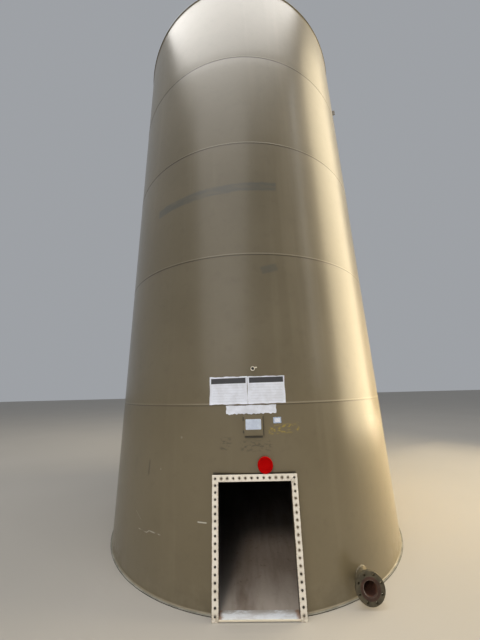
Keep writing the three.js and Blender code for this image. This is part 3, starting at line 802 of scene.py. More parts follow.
def rounded_slab(low, high, edge=0.001, step=0.03):
    """A block with rounded edges: each point of its six gridded faces is drawn in to the block shrunk
    by the edge radius, then pushed out again by that radius."""
    low, high = np.asarray(low, float), np.asarray(high, float)
    edge = min(edge, 0.45 * (high - low).min())
    halfway = 0.41 * edge
    lines = [
        ruled([a, a + halfway, a + edge, b - edge, b - halfway, b], step) for a, b in zip(low, high)
    ]
    faces = []
    for axis in range(3):
        u, v = (lines[i] for i in range(3) if i != axis)
        for end in (low[axis], high[axis]):
            points = np.stack(np.meshgrid(u, v, indexing="ij"), axis=-1).reshape(-1, 2)
            faces.append((np.insert(points, axis, end, axis=1), grid(len(u), len(v))))
    points, quads = joined(*faces)
    core = np.clip(points, low + edge, high - edge)
    push = points - core
    return core + edge * push / np.linalg.norm(push, axis=1, keepdims=True), quads


def level_circle(count):
    """Directions (cos t, sin t, 0) all round."""
    angle = np.linspace(0, 2 * np.pi, count, endpoint=False)
    return np.stack([np.cos(angle), np.sin(angle), np.zeros(count)], axis=1)


neck_profile = [
    (HATCH_BORE, NECK_BOTTOM),
    (HATCH_RADIUS, NECK_BOTTOM),
    (HATCH_RADIUS, SEAT_BOTTOM - 0.006),
    (HATCH_RADIUS + 0.0045, SEAT_BOTTOM - 0.0015),
    (HATCH_RADIUS + 0.006, SEAT_BOTTOM),
    (SEAT_RADIUS - 0.0015, SEAT_BOTTOM),
    (SEAT_RADIUS, SEAT_BOTTOM + 0.0015),
    (SEAT_RADIUS, SEAT_TOP - 0.0015),
    (SEAT_RADIUS - 0.0015, SEAT_TOP),
    (HATCH_BORE + 0.001, SEAT_TOP),
    (HATCH_BORE, SEAT_TOP - 0.001),
]
neck = tan_piece("hatch_neck_and_seat", turned(neck_profile, (0, 0, 0), (0, 0, 1)))
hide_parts("hatch_neck")

arc = np.linspace(0, 1, 12)
dome_levels = LID_BOTTOM + LID_RIM + LID_DOME * np.sin(arc * np.pi / 2)
dome = np.stack([(LID_RADIUS - 0.026) * (1 - arc), dome_levels], axis=1)
lid_profile = [
    (0, LID_BOTTOM),
    (LID_RADIUS - 0.001, LID_BOTTOM),
    (LID_RADIUS, LID_BOTTOM + 0.001),
    (LID_RADIUS, LID_BOTTOM + LID_RIM - 0.004),
    (LID_RADIUS - 0.0012, LID_BOTTOM + LID_RIM - 0.0012),
    (LID_RADIUS - 0.004, LID_BOTTOM + LID_RIM),
    (LID_RADIUS - 0.018, LID_BOTTOM + LID_RIM),
    (LID_RADIUS - 0.022, LID_BOTTOM + LID_RIM - 0.002),
    *dome,
]
lid = tan_piece("hatch_lid_pressed", turned(lid_profile, (0, 0, 0), (0, 0, 1)))
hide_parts("hatch_lid")

bail_turn = np.linspace(-0.6, 0.6, 24)
bail_out = np.stack([np.sin(bail_turn), -np.cos(bail_turn), np.zeros_like(bail_turn)], axis=1)
bail_path = bail_out * (BAIL_WIDE, BAIL_REACH, 0) + (0, 0, LID_BOTTOM + 0.021)
bail = carried(bail_path, (0, 0, 1), bail_out, BAIL_ROD * level_circle(12)[:, :2])
latch_front, latch_top = -0.157, LID_BOTTOM + 0.026
latch_low = (-LATCH_HALF, latch_front, SEAT_BOTTOM - 0.006)
latch = rounded_slab(latch_low, (LATCH_HALF, latch_front + 0.0065, latch_top), 0.002)
tongue_low = (-LATCH_HALF, latch_front, latch_top - 0.0075)
tongue = rounded_slab(tongue_low, (LATCH_HALF, -BAIL_REACH, latch_top), 0.002)
tan_piece("hatch_fittings", joined(bail, latch, tongue))

hinge_low, hinge_high = (np.array(corner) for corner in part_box("hatch_hinge"))
pin_level = hinge_high[2] - 0.016
pin = [
    (0, -HINGE_HALF),
    (PIN_RADIUS - 0.001, -HINGE_HALF),
    (PIN_RADIUS, 0.001 - HINGE_HALF),
    (PIN_RADIUS, HINGE_HALF - 0.001),
    (PIN_RADIUS - 0.001, HINGE_HALF),
    (0, HINGE_HALF),
]
knuckle_back, knuckle_top = hinge_high[1], hinge_high[2] - 0.004
right_low = (HINGE_SLOT, hinge_low[1], hinge_low[2])
arm_low = (0.001 - HINGE_SLOT, 0.118, pin_level - 0.004)
arm_high = (HINGE_SLOT - 0.001, knuckle_back - 0.004, pin_level + 0.005)
hinge = [
    rounded_slab(hinge_low, (-HINGE_SLOT, knuckle_back, knuckle_top), 0.003),
    rounded_slab(right_low, (HINGE_HALF, knuckle_back, knuckle_top), 0.003),
    rounded_slab(arm_low, arm_high, 0.002),
    turned(pin, (0, hinge_low[1] + 0.015, pin_level), (1, 0, 0), 24),
]
piece = tan_piece("hatch_hinge_knuckles", joined(*hinge))
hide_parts("hatch_hinge")

neck_ring = level_circle(96)
neck_foot = HATCH_RADIUS * neck_ring + (0, 0, deck_height(HATCH_RADIUS) + DECK_THICKNESS)
neck_weld = carried(neck_foot, neck_ring, (0, 0, 1), fillet(HATCH_LEG), closed=True)
tan_piece("hatch_neck_weld", neck_weld)


# Clean-out neck. Quarter-inch plates line the cut in the shell, carry the bolting frame a little clear
# of it, and are fillet welded to both. The sill is half-inch plate in grey primer.
FRAME_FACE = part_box("cleanout_frame_top")[0].y
FRAME_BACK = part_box("cleanout_frame_top")[1].y
NECK_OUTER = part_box("cleanout_neck_right")[1].x
NECK_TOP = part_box("cleanout_neck_top")[1].z
NECK_LEG = 0.005
JAMB_STATIONS = 24
HEAD_STATIONS = 16

for node in ("cleanout_neck_left", "cleanout_neck_right", "cleanout_neck_top"):
    piece = tan_piece(node + "_plate", rounded_slab(*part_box(node), 0.0008))
    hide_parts(node)

sill_paint = Paint("sill_primer")
x, y, z = sill_paint.axes()
scuff = sill_paint.noise(24, 5, 0.65, (0.35, 1, 1))
ends = (x.size() + sill_paint.noise(30, 4, 0.6) * 0.05).over(0.29, 0.325)
colour = sill_paint.mix(scuff.over(0.4, 0.7), (0.82, 0.85, 0.88), (0.66, 0.66, 0.66))
silted = y.over(FRAME_BACK + 0.02, FRAME_BACK + 0.07) * scuff.over(0.35, 0.55)
colour = sill_paint.mix(silted * 0.7, colour, (0.34, 0.29, 0.23))
colour = sill_paint.mix(ends * 0.8, colour, (0.3, 0.15, 0.07))
front_edge = y.over(FRAME_FACE + 0.003, FRAME_FACE + 0.001)
colour = sill_paint.mix(front_edge, colour, (0.74, 0.67, 0.52))
sill_finish = sill_paint.finish(
    base_color=colour, roughness=0.5 + 0.3 * scuff, normal=sill_paint.bump(scuff, 0.4)
)
sill = make("sill_plate", *rounded_slab(*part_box("cleanout_sill"), 0.0015), sill_finish, "sill_paint")
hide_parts("cleanout_sill")

rise = np.linspace(BOTTOM_TOP + 0.004, NECK_TOP, JAMB_STATIONS)
span = np.linspace(-NECK_OUTER, NECK_OUTER, HEAD_STATIONS + 2)[1:-1]
hoop_x = np.concatenate([np.full(JAMB_STATIONS, -NECK_OUTER), span, np.full(JAMB_STATIONS, NECK_OUTER)])
hoop_z = np.concatenate([rise, np.full(HEAD_STATIONS, NECK_TOP), rise[::-1]])
hoop_across = np.zeros((len(hoop_x), 3))
hoop_across[:JAMB_STATIONS, 0] = -1
hoop_across[-JAMB_STATIONS:, 0] = 1
hoop_across[JAMB_STATIONS - 1 : 1 - JAMB_STATIONS, 2] = 1
on_shell_face = np.stack([hoop_x, -np.sqrt(SHELL_RADIUS**2 - hoop_x**2), hoop_z], axis=1)
on_frame_back = np.stack([hoop_x, np.full(len(hoop_x), FRAME_BACK), hoop_z], axis=1)
neck_welds = [
    carried(on_shell_face, hoop_across, (0, -1, 0), fillet(WELD_LEG)),
    carried(on_frame_back, hoop_across, (0, 1, 0), fillet(NECK_LEG)),
]
tan_piece("cleanout_neck_welds", joined(*neck_welds))


# Clean-out frame. Two jambs and a header of three-eighths bar are welded into one frame, ground flush
# and drilled for 50 cover bolts at two inches. It is in cream primer, with grime round the holes,
# brown stains along its edges and mud at its foot. Its cover is off.
FRAME_HALF = 14 * INCH
OPENING_HALF = 12 * INCH
OPENING_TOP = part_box("cleanout_frame_top")[0].z
FRAME_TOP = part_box("cleanout_frame_top")[1].z
TOP_BOLTS = 14
SIDE_BOLTS = 18
BOLT_PITCH = 2 * INCH
BOLT_COLUMN = 13 * INCH
TOP_ROW = (OPENING_TOP + FRAME_TOP) / 2
LOWEST_BOLT = 1.5 * INCH
SIDE_PITCH = (TOP_ROW - LOWEST_BOLT) / SIDE_BOLTS
BOLT_HOLE = 11 / 32 * INCH
CELLS_PER_PITCH = 6

cream_paint = Paint("cream_primer")
x, y, z = cream_paint.axes()
cloud = cream_paint.noise(7, 4, 0.6)
fine = cream_paint.noise(60, 4, 0.65)
drips = cream_paint.noise(30, 3, 0.6, (1, 1, 0.12))
colour = cream_paint.mix(cloud.over(0.35, 0.65), (0.82, 0.77, 0.68), (0.74, 0.69, 0.59))

# Grime rings each bolt hole, heavier in the header and the right jamb's middle holes. The hole's wall
# is painted dark as shade, and browner as painted light in those same holes, where the lit shell shows
# behind them.
in_header = z.over(OPENING_TOP - 0.001, OPENING_TOP + 0.001)
side_hole = (x.size() - BOLT_COLUMN).hypot(z.nearest(LOWEST_BOLT, SIDE_PITCH))
top_hole = x.nearest(-BOLT_COLUMN, BOLT_PITCH).hypot(z - TOP_ROW)
from_hole = side_hole * (1 - in_header) + top_hole * in_header
lit_behind_and_grimier = in_header * x.size().over(0.315, 0.305)
lit_behind_and_grimier = lit_behind_and_grimier + (1 - in_header) * x.over(0.3, 0.305) * z.within(0.31, 0.82, 0.01)
grime = from_hole.over(0.021, 0.0095) * (fine * 0.6 + cloud * 0.6).over(0.42, 0.72)
colour = cream_paint.mix(grime * (0.55 + 0.35 * lit_behind_and_grimier), colour, (0.33, 0.29, 0.23))
hole_shade_and_light = cream_paint.mix(lit_behind_and_grimier, (0.03, 0.025, 0.018), (0.24, 0.18, 0.125))
colour = cream_paint.mix(from_hole.over(0.0098, 0.0088), colour, hole_shade_and_light)

# Drips run down it, rust stains its edges, one corner is smudged, and mud lies on its foot.
colour = cream_paint.mix(drips.over(0.6, 0.72) * 0.35, colour, (0.5, 0.4, 0.26))
inner_edge = (x.size() - OPENING_HALF).size().over(0.006, 0.001)
inner_edge = inner_edge * z.over(OPENING_TOP + 0.01, OPENING_TOP)
outer_edge = (x.size() - FRAME_HALF).size().over(0.004, 0.0005)
edge_stain = (inner_edge + outer_edge).math("MINIMUM", 1.0) * fine.over(0.42, 0.62)
colour = cream_paint.mix(edge_stain * 0.8, colour, (0.25, 0.15, 0.085))
corner_smudge = (x - 0.313).hypot(z - 0.922).over(0.034, 0.008) * fine.over(0.35, 0.6)
colour = cream_paint.mix(corner_smudge * 0.8, colour, (0.33, 0.29, 0.23))
mud = (z + cloud * 0.08).over(0.12, 0.05) * fine.over(0.35, 0.6)
colour = cream_paint.mix(mud * 0.65, colour, (0.36, 0.29, 0.2))
cream_finish = cream_paint.finish(
    base_color=colour,
    roughness=0.52 + 0.25 * fine,
    normal=cream_paint.bump(fine, 0.25),
)


def bevel(piece, width):
    """Rounds a piece's sharp edges."""
    edge = piece.modifiers.new("edge", "BEVEL")
    edge.width = width
    edge.segments = 2
    edge.limit_method = "ANGLE"
    edge.angle_limit = math.radians(40)


levels = [0, *(LOWEST_BOLT + SIDE_PITCH * (np.arange(SIDE_BOLTS) - 0.5)), OPENING_TOP, FRAME_TOP]
columns = FRAME_HALF - BOLT_PITCH * np.arange(TOP_BOLTS + 1)[::-1]
fine_columns = ruled(columns, BOLT_PITCH / CELLS_PER_PITCH)
fine_levels = ruled(levels, SIDE_PITCH / CELLS_PER_PITCH)
layout = Layout(fine_columns, fine_levels)
layout.leave_out((-OPENING_HALF, 0), (OPENING_HALF, OPENING_TOP))


def punch_bolt_hole(low, high, x, z):
    """Punches a round hole at (x, z) in a block of cells. A rim point is the middle plus the radius
    times (cos, sin) of its angle."""

    def rim(angle):
        return np.stack([x + BOLT_HOLE * np.cos(angle), z + BOLT_HOLE * np.sin(angle)], axis=1)

    layout.punch(low, high, (x, z), rim)


def at_depth(y):
    """Maps (x, z) points onto the upright plane at a depth."""
    return lambda points: np.insert(points, 1, y, axis=1)


for i in range(TOP_BOLTS):
    middle = -BOLT_COLUMN + BOLT_PITCH * i
    punch_bolt_hole((columns[i], OPENING_TOP), (columns[i + 1], FRAME_TOP), middle, TOP_ROW)
for column in (-BOLT_COLUMN, BOLT_COLUMN):
    for i in range(SIDE_BOLTS):
        low = column - BOLT_PITCH / 2, levels[i + 1]
        high = column + BOLT_PITCH / 2, levels[i + 2]
        punch_bolt_hole(low, high, column, LOWEST_BOLT + SIDE_PITCH * i)
frame_solid = layout.plate(at_depth(FRAME_FACE), at_depth(FRAME_BACK))
cleanout_frame = make("cleanout_frame", *frame_solid, cream_finish, "cream_paint")
bevel(cleanout_frame, 0.0008)
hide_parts("cleanout_frame_left", "cleanout_frame_right", "cleanout_frame_top")


# Nozzles. A four-inch pipe stub goes through the shell, with a slip-on raised-face flange welded to its
# end inside and at the hub. The outlet is low at the front right. Its twin is high at the back. The
# flanges have thin tan overspray, and their faces and bores are bare and rusted.
PIPE_BORE = PIPE_RADIUS - 0.006
FLANGE_RADIUS = 9 / 2 * INCH
FLANGE_THICKNESS = 0.88 * INCH
RAISED_RADIUS = 3.095 * INCH
RAISED_HEIGHT = INCH / 16
HUB_CROWN = 0.0655
HUB_RADIUS = 2.655 * INCH
HUB_LENGTH = 3 / 8 * INCH
BOLT_CIRCLE = 7.5 / 2 * INCH
FLANGE_HOLE = 3 / 8 * INCH
FLANGE_BOLTS = 8
FACE_GROOVE = 0.0016
PIPE_SETBACK = INCH / 4
NOZZLE_LEG = 0.007
FACE_LEG = 0.0045
FACE_ROOT = 0.0008


def flange_finish(name, x_axis, z_axis, face, outward):
    """Overspray that thins towards the face, rust on the raised face and in the bore."""
    paint = Paint(name)
    x, y, z = paint.axes()
    radius = (x - x_axis).hypot(z - z_axis)
    fine = paint.noise(90, 4, 0.65)
    cloud = paint.noise(22, 4, 0.6)
    colour = paint.mix(cloud.over(0.38, 0.62), (0.05, 0.042, 0.025), (0.082, 0.069, 0.042))
    colour = paint.mix(fine.over(0.58, 0.7) * 0.6, colour, (0.05, 0.026, 0.015))
    rust = paint.mix(cloud.over(0.35, 0.7), (0.04, 0.018, 0.012), (0.075, 0.035, 0.022))
    rust = paint.mix(fine.over(0.55, 0.68) * 0.5, rust, (0.035, 0.02, 0.015))
    on_face = (y * outward).over(abs(face) - 0.0012, abs(face) - 0.0004)
    colour = paint.mix(radius.over(RAISED_RADIUS + 0.001, RAISED_RADIUS) * on_face, colour, rust)
    colour = paint.mix(radius.over(PIPE_RADIUS + 0.0035, PIPE_RADIUS + 0.0012), colour, rust)
    grooves = (radius * (2 * math.pi / FACE_GROOVE)).math("SINE") * on_face
    return paint.finish(
        base_color=colour,
        roughness=0.6 + 0.3 * fine,
        normal=paint.bump(fine * 0.8 + grooves * 0.25, 0.5),
    )


def pipe_finish(name, x_axis, z_axis):
    """Tan outside, flaking rust in the bore, and a pale ground end with the inner weld, darker to
    the lower right.
    """
    paint = Paint(name)
    x, y, z = paint.axes()
    radius = (x - x_axis).hypot(z - z_axis)
    fine = paint.noise(80, 4, 0.65)
    cloud = paint.noise(15, 4, 0.6)
    tan = paint.mix(cloud.over(0.35, 0.65), TAN, TAN_DARK)
    rust = paint.mix(cloud.over(0.35, 0.68), (0.06, 0.026, 0.017), (0.15, 0.066, 0.038))
    ground = paint.mix(fine.over(0.42, 0.66), (0.27, 0.225, 0.19), (0.14, 0.095, 0.07))
    darker_lower_right = ((x - x_axis) - (z - z_axis) * 0.6).over(-0.035, 0.02)
    ground = paint.mix(darker_lower_right, ground, (0.06, 0.032, 0.022))
    colour = paint.mix(radius.over(PIPE_RADIUS - 0.0003, PIPE_RADIUS - 0.0006), tan, ground)
    colour = paint.mix(radius.over(PIPE_BORE + 0.001, PIPE_BORE + 0.0002), colour, rust)
    return paint.finish(base_color=colour, roughness=0.55 + 0.35 * fine, normal=paint.bump(fine, 0.5))


def nozzle(name, x_axis, z_axis, face, inner_end, outward):
    """Flange, pipe and welds round an axis along Y. outward is -1 at the front and 1 at the back."""
    step = BOLT_CIRCLE * 2 * math.pi / FLANGE_BOLTS
    half = FLANGE_HOLE + 0.004
    middles = step * (np.arange(FLANGE_BOLTS) + 0.5)
    cell = half / 2.5
    around = ruled(np.sort([0, *(middles - half), *(middles + half), step * FLANGE_BOLTS]), cell)
    hole_band = [BOLT_CIRCLE - half, BOLT_CIRCLE + half]
    raised_edge = [RAISED_RADIUS - 0.0004, RAISED_RADIUS + 0.0008]
    radii = [PIPE_RADIUS + CLEARANCE, HUB_CROWN, HUB_RADIUS, *raised_edge, *hole_band, FLANGE_RADIUS]
    layout = Layout(around, ruled(radii, cell), wrap=True)
    for middle in middles:

        def rim(angle):
            """A circle beside the bolt circle's top, turned round the flange to the hole's middle."""
            x, y = FLANGE_HOLE * np.cos(angle), BOLT_CIRCLE + FLANGE_HOLE * np.sin(angle)
            return np.stack([middle + BOLT_CIRCLE * np.arctan2(x, y), np.hypot(x, y)], axis=1)

        corners = (middle - half, hole_band[0]), (middle + half, hole_band[1])
        layout.punch(*corners, (middle, BOLT_CIRCLE), rim)

    def round_axis(points, depth):
        """(distance round the bolt circle, radius) at a depth behind the raised face."""
        angle = points[:, 0] / BOLT_CIRCLE
        x, z = points[:, 1] * np.sin(angle), points[:, 1] * np.cos(angle)
        return np.stack([x_axis + x, face - outward * depth, z_axis + z], axis=1)

    def front(points):
        """The raised face, which drops over a short slope to the face round the bolts."""
        return round_axis(points, np.interp(points[:, 1], raised_edge, (0, RAISED_HEIGHT)))

    def back(points):
        """The flange's back, with the hub sloping up to the pipe."""
        hub = np.interp(points[:, 1], (HUB_CROWN, HUB_RADIUS), (HUB_LENGTH, 0))
        return round_axis(points, FLANGE_THICKNESS + RAISED_HEIGHT + hub)

    finish = flange_finish(name + "_flange_rust", x_axis, z_axis, face, outward)
    flange = make(name + "_flange_ring", *layout.plate(front, back), finish, "rusted_flange")
    bevel(flange, 0.0009)
    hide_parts(name + "_flange")

    far_end = abs(face - inner_end)
    profile = [
        (PIPE_BORE, PIPE_SETBACK + 0.0015),
        (PIPE_BORE + 0.0015, PIPE_SETBACK),
        (PIPE_RADIUS - 0.0006, PIPE_SETBACK),
        (PIPE_RADIUS, PIPE_SETBACK + 0.0006),
        (PIPE_RADIUS, far_end - 0.001),
        (PIPE_RADIUS - 0.001, far_end),
        (PIPE_BORE + 0.001, far_end),
        (PIPE_BORE, far_end - 0.001),
        *[(PIPE_BORE, far_end + (PIPE_SETBACK - far_end) * share) for share in (0.25, 0.5, 0.75)],
    ]
    axis, centre = (0, -outward, 0), (x_axis, face, z_axis)
    steel = pipe_finish(name + "_stub_steel", x_axis, z_axis)
    pipe = make(name + "_stub", *turned(profile, centre, axis), steel, "tan_paint")
    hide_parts(name + "_pipe")

    ring = level_circle(96)[:, [0, 2, 1]]
    shell_foot = centre + PIPE_RADIUS * ring
    shell_foot[:, 1] = outward * np.sqrt(SHELL_RADIUS**2 - shell_foot[:, 0] ** 2)
    shell_out = shell_foot * (1, 1, 0) / SHELL_RADIUS
    shell_weld = carried(shell_foot, ring, shell_out, fillet(NOZZLE_LEG), closed=True)
    hub_depth = FLANGE_THICKNESS + RAISED_HEIGHT + HUB_LENGTH
    hub_foot = centre + PIPE_RADIUS * ring - (0, outward * hub_depth, 0)
    hub_weld = carried(hub_foot, ring, (0, -outward, 0), fillet(WELD_LEG), closed=True)
    tan_piece(name + "_welds", joined(shell_weld, hub_weld))
    inner_foot = centre + PIPE_RADIUS * ring - (0, outward * PIPE_SETBACK, 0)
    inner_weld = carried(inner_foot, -ring, (0, outward, 0), fillet(FACE_LEG, FACE_ROOT), closed=True)
    make(name + "_face_weld", *inner_weld, steel, "rusted_flange")


outlet_face, outlet_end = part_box("outlet_flange")[0].y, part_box("outlet_pipe")[1].y
upper_face, upper_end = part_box("upper_nozzle_flange")[1].y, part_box("upper_nozzle_pipe")[0].y
nozzle("outlet", OUTLET_X, OUTLET_Z, outlet_face, outlet_end, -1)
nozzle("upper_nozzle", UPPER_X, UPPER_Z, upper_face, upper_end, 1)


# Capped couplings. Four-inch weld couplings, one over the clean-out and one on the deck, are shut with
# red polyethylene caps. A cap has a grip-ribbed skirt and a shallow ring moulded in its face.
COUPLING_BORE = 3.8 / 2 * INCH
COUPLING_REACH = 0.03
COUPLING_ROOT = 0.015
CAP_RADIUS = 0.066
CAP_SKIRT = 0.0103
CAP_FACE = 0.0353
GRIPS = 40
GRIP_DEPTH = 0.0011
FRONT_X, FRONT_Z = middle_of("front_cap")

red_paint = Paint("red_polyethylene", specular_tint=(0.5, 0.01, 0.01, 1))
fade = red_paint.noise(16, 3, 0.5)
scuff = red_paint.noise(90, 4, 0.7)
colour = red_paint.mix(fade.over(0.3, 0.7), (0.34, 0.0012, 0.0015), (0.4, 0.0025, 0.0022))
colour = red_paint.mix(scuff.over(0.66, 0.76) * 0.3, colour, (0.45, 0.03, 0.025))
red_finish = red_paint.finish(
    base_color=colour, roughness=0.34 + 0.2 * scuff, normal=red_paint.bump(scuff, 0.15)
)


def capped_coupling(name, centre, out, nodes):
    """The coupling's tube and its cap, on an axis that leaves the tank at centre. The cap is turned
    round Z, its skirt is drawn in between the grips by a cosine wave, and it is set on the axis."""
    out = np.asarray(out, float)
    tube = [
        (COUPLING_BORE, -COUPLING_ROOT),
        (PIPE_RADIUS, -COUPLING_ROOT),
        (PIPE_RADIUS, COUPLING_REACH - 0.001),
        (PIPE_RADIUS - 0.001, COUPLING_REACH),
        (COUPLING_BORE + 0.002, COUPLING_REACH),
        (COUPLING_BORE, COUPLING_REACH - 0.002),
    ]
    coupling = tan_piece(name + "_tube", turned(tube, centre, out, 64))
    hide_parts(nodes[0])
    seat, mouth = PIPE_RADIUS + CLEARANCE, COUPLING_REACH + CLEARANCE
    profile = np.array(
        [
            (0, mouth),
            (seat, mouth),
            (seat, CAP_SKIRT),
            (CAP_RADIUS - 0.0012, CAP_SKIRT),
            (CAP_RADIUS, CAP_SKIRT + 0.0012),
            (CAP_RADIUS, CAP_FACE - 0.006),
            (CAP_RADIUS - 0.0012, CAP_FACE - 0.0028),
            (CAP_RADIUS - 0.0035, CAP_FACE - 0.0006),
            (CAP_RADIUS - 0.006, CAP_FACE),
            (CAP_RADIUS - 0.014, CAP_FACE),
            (CAP_RADIUS - 0.016, CAP_FACE - 0.0016),
            (CAP_RADIUS - 0.022, CAP_FACE - 0.0016),
            (CAP_RADIUS - 0.045, CAP_FACE - 0.0009),
            (0, CAP_FACE - 0.0006),
        ]
    )
    points, quads = turned(profile, (0, 0, 0), (0, 0, 1), GRIPS * 6)
    radius = np.hypot(points[:, 0], points[:, 1])
    skirt = (radius > CAP_RADIUS - 0.0005) & (points[:, 2] < CAP_FACE - 0.004)
    angle = np.arctan2(points[:, 1], points[:, 0])[skirt]
    groove = GRIP_DEPTH * (0.5 - 0.5 * np.cos(GRIPS * angle))
    points[skirt, :2] *= (1 - groove / CAP_RADIUS)[:, None]
    placed = centre + points @ np.stack([*crosswise(out), out])
    cap = make(name + "_red_cap", placed, quads, red_finish, "red_plastic", sharp_degrees=50)
    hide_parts(nodes[1])


front_root = np.array([FRONT_X, -math.sqrt(SHELL_RADIUS**2 - FRONT_X**2), FRONT_Z])
vent_root = np.array([VENT_X, VENT_Y, deck_height(VENT_REACH) + DECK_THICKNESS])
capped_coupling("front", front_root, (0, -1, 0), ("front_coupling", "front_cap"))
capped_coupling("vent", vent_root, (0, 0, 1), ("vent_coupling", "vent_cap"))

ring = level_circle(72)[:, [0, 2, 1]]
foot = front_root + PIPE_RADIUS * ring
foot[:, 1] = -np.sqrt(SHELL_RADIUS**2 - foot[:, 0] ** 2)
front_weld = carried(foot, ring, outwards(foot[:, 0]), fillet(WELD_LEG), closed=True)
ring = level_circle(72)
foot = vent_root + PIPE_RADIUS * ring
foot[:, 2] = deck_height(np.hypot(foot[:, 0], foot[:, 1])) + DECK_THICKNESS
vent_weld = carried(foot, ring, (0, 0, 1), fillet(WELD_LEG), closed=True)
tan_piece("coupling_welds", joined(front_weld, vent_weld))


# Gauge coupling. A small half coupling above the panels was left in cream primer. A pale tab of tape
# sticks out beside its ring.
GAUGE_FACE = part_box("gauge_coupling")[0].y
GAUGE_BORE = 0.014
GAUGE_ROOT = 0.01
GAUGE_REACH = INCH
gauge_tube = [
    (GAUGE_BORE, -GAUGE_ROOT),
    (GAUGE_RADIUS, -GAUGE_ROOT),
    (GAUGE_RADIUS, GAUGE_REACH - 0.001),
    (GAUGE_RADIUS - 0.001, GAUGE_REACH),
    (GAUGE_BORE + 0.0015, GAUGE_REACH),
    (GAUGE_BORE, GAUGE_REACH - 0.0015),
]
gauge_ring = turned(gauge_tube, (GAUGE_X, -SHELL_RADIUS, GAUGE_Z), (0, -1, 0), 48)
tab_low = (GAUGE_X + 0.019, GAUGE_FACE + 0.006, GAUGE_Z + 0.004)
tab_high = (GAUGE_X + 0.04, GAUGE_FACE + 0.0075, GAUGE_Z + 0.015)
tab = rounded_slab(tab_low, tab_high, 0.0006)
gauge = make("gauge_ring", *joined(gauge_ring, tab), cream_finish, "cream_paint")
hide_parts("gauge_coupling")


# Nameplate bracket. A flat plate stands off the shell on two short legs, so that it shows a dark gap
# above and below them. The aluminium data plate on it is blank, with a rivet in each corner.
BRACKET_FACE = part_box("nameplate_bracket")[0].y
BRACKET_X, BRACKET_Z = middle_of("nameplate_bracket")
BRACKET_HALF = 0.084
BRACKET_THICKNESS = 0.004
BRACKET_LEG_HALF = 0.046
BRACKET_WELD = 0.004
PLATE_CORNER = 0.006
PLATE_DISH = 0.0003
RIVET_INSET = 0.007
plate_low = (BRACKET_X - BRACKET_HALF, BRACKET_FACE, BRACKET_Z - BRACKET_HALF)
plate_high = (BRACKET_X + BRACKET_HALF, BRACKET_FACE + BRACKET_THICKNESS, BRACKET_Z + BRACKET_HALF)
bracket = [rounded_slab(plate_low, plate_high, 0.0012)]
for way in (-1, 1):
    inner, outer = sorted(BRACKET_X + way * (BRACKET_HALF - inset) for inset in (BRACKET_THICKNESS, 0))
    middle = (inner + outer) / 2
    root = -math.sqrt(SHELL_RADIUS**2 - middle**2) - 0.0004
    leg_low = (inner, BRACKET_FACE + 0.002, BRACKET_Z - BRACKET_LEG_HALF)
    bracket.append(rounded_slab(leg_low, (outer, root, BRACKET_Z + BRACKET_LEG_HALF), 0.0008))
    foot = [(middle, root + 0.0006, BRACKET_Z + end) for end in (-BRACKET_LEG_HALF, BRACKET_LEG_HALF)]
    bracket += foot_weld(foot[0], foot[1], (1, 0, 0), (0, -1, 0), BRACKET_THICKNESS, BRACKET_WELD)
piece = tan_piece("nameplate_bracket_plate", joined(*bracket))
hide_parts("nameplate_bracket")

sheet_metal = Paint("brushed_aluminium", metallic=0.45)
brushed = sheet_metal.noise(500, 3, 0.6, (0.02, 1, 1))
haze = sheet_metal.noise(18, 4, 0.6)
# The plate's blue tint is a painted reflection of blue sky on plain aluminium.
colour = sheet_metal.mix(haze.over(0.35, 0.68), (0.76, 0.85, 1), (0.62, 0.7, 0.86))
colour = sheet_metal.mix(brushed.over(0.55, 0.75) * 0.12, colour, (0.45, 0.5, 0.6))
plate_finish = sheet_metal.finish(
    base_color=colour, roughness=0.24 + 0.22 * haze, normal=sheet_metal.bump(brushed, 0.05)
)
name_low, name_high = (np.array(corner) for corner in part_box("nameplate"))
name_middle = (name_low + name_high) / 2
half_width = (name_high[0] - name_low[0]) / 2
half_height = (name_high[2] - name_low[2]) / 2
steps = np.linspace(-1, 1, 31)
layout = Layout(steps * half_width, steps * half_height)


def corner_rounded(p):
    """Rounds the rectangle's corners: a point that lies past the core both ways is drawn in, so that
    its greater way past the core becomes its distance from it."""
    limit = np.array([half_width, half_height]) - PLATE_CORNER
    core = np.clip(p, -limit, limit)
    beyond = p - core
    both = np.minimum(np.abs(beyond[:, 0]), np.abs(beyond[:, 1]))[:, None] > 1e-9
    longest = np.abs(beyond).max(axis=1, keepdims=True)
    length = np.maximum(np.linalg.norm(beyond, axis=1, keepdims=True), 1e-9)
    return core + np.where(both, beyond * longest / length, beyond)


def sheet_face(p, depth):
    """(x, z) from the plate's middle, at a depth and dished: a cosine across times a cosine up."""
    dish = np.cos(np.pi / 2 * p[:, 0] / half_width) * np.cos(np.pi / 2 * p[:, 1] / half_height)
    p = corner_rounded(p)
    y = depth + PLATE_DISH * dish
    return np.stack([name_middle[0] + p[:, 0], y, name_middle[2] + p[:, 1]], axis=1)


sheet = layout.plate(
    lambda points: sheet_face(points, name_low[1] + 0.0006),
    lambda points: sheet_face(points, name_high[1] - 0.0003),
)
rivet = [(0, 0), (0.0028, 0), (0.0026, 0.0007), (0.0016, 0.0013), (0, 0.0015)]
rivets = []
for way in (-1, 1):
    for lift in (-1, 1):
        centre = (
            name_middle[0] + way * (half_width - RIVET_INSET),
            name_low[1] + 0.0014,
            name_middle[2] + lift * (half_height - RIVET_INSET),
        )
        rivets.append(turned(rivet, centre, (0, -1, 0), 16))
piece = make("data_plate", *joined(sheet, *rivets), plate_finish, "bright_plate")
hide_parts("nameplate")


# Stuck-on sheets. Two blank white vinyl panels, a blank paper strip below them and a small blank tag
# cling to the shell. Their edges are a little wavy, and the loose corners lift.
SHEET_THICKNESS = 0.0004
SHEET_GAP = 0.0007

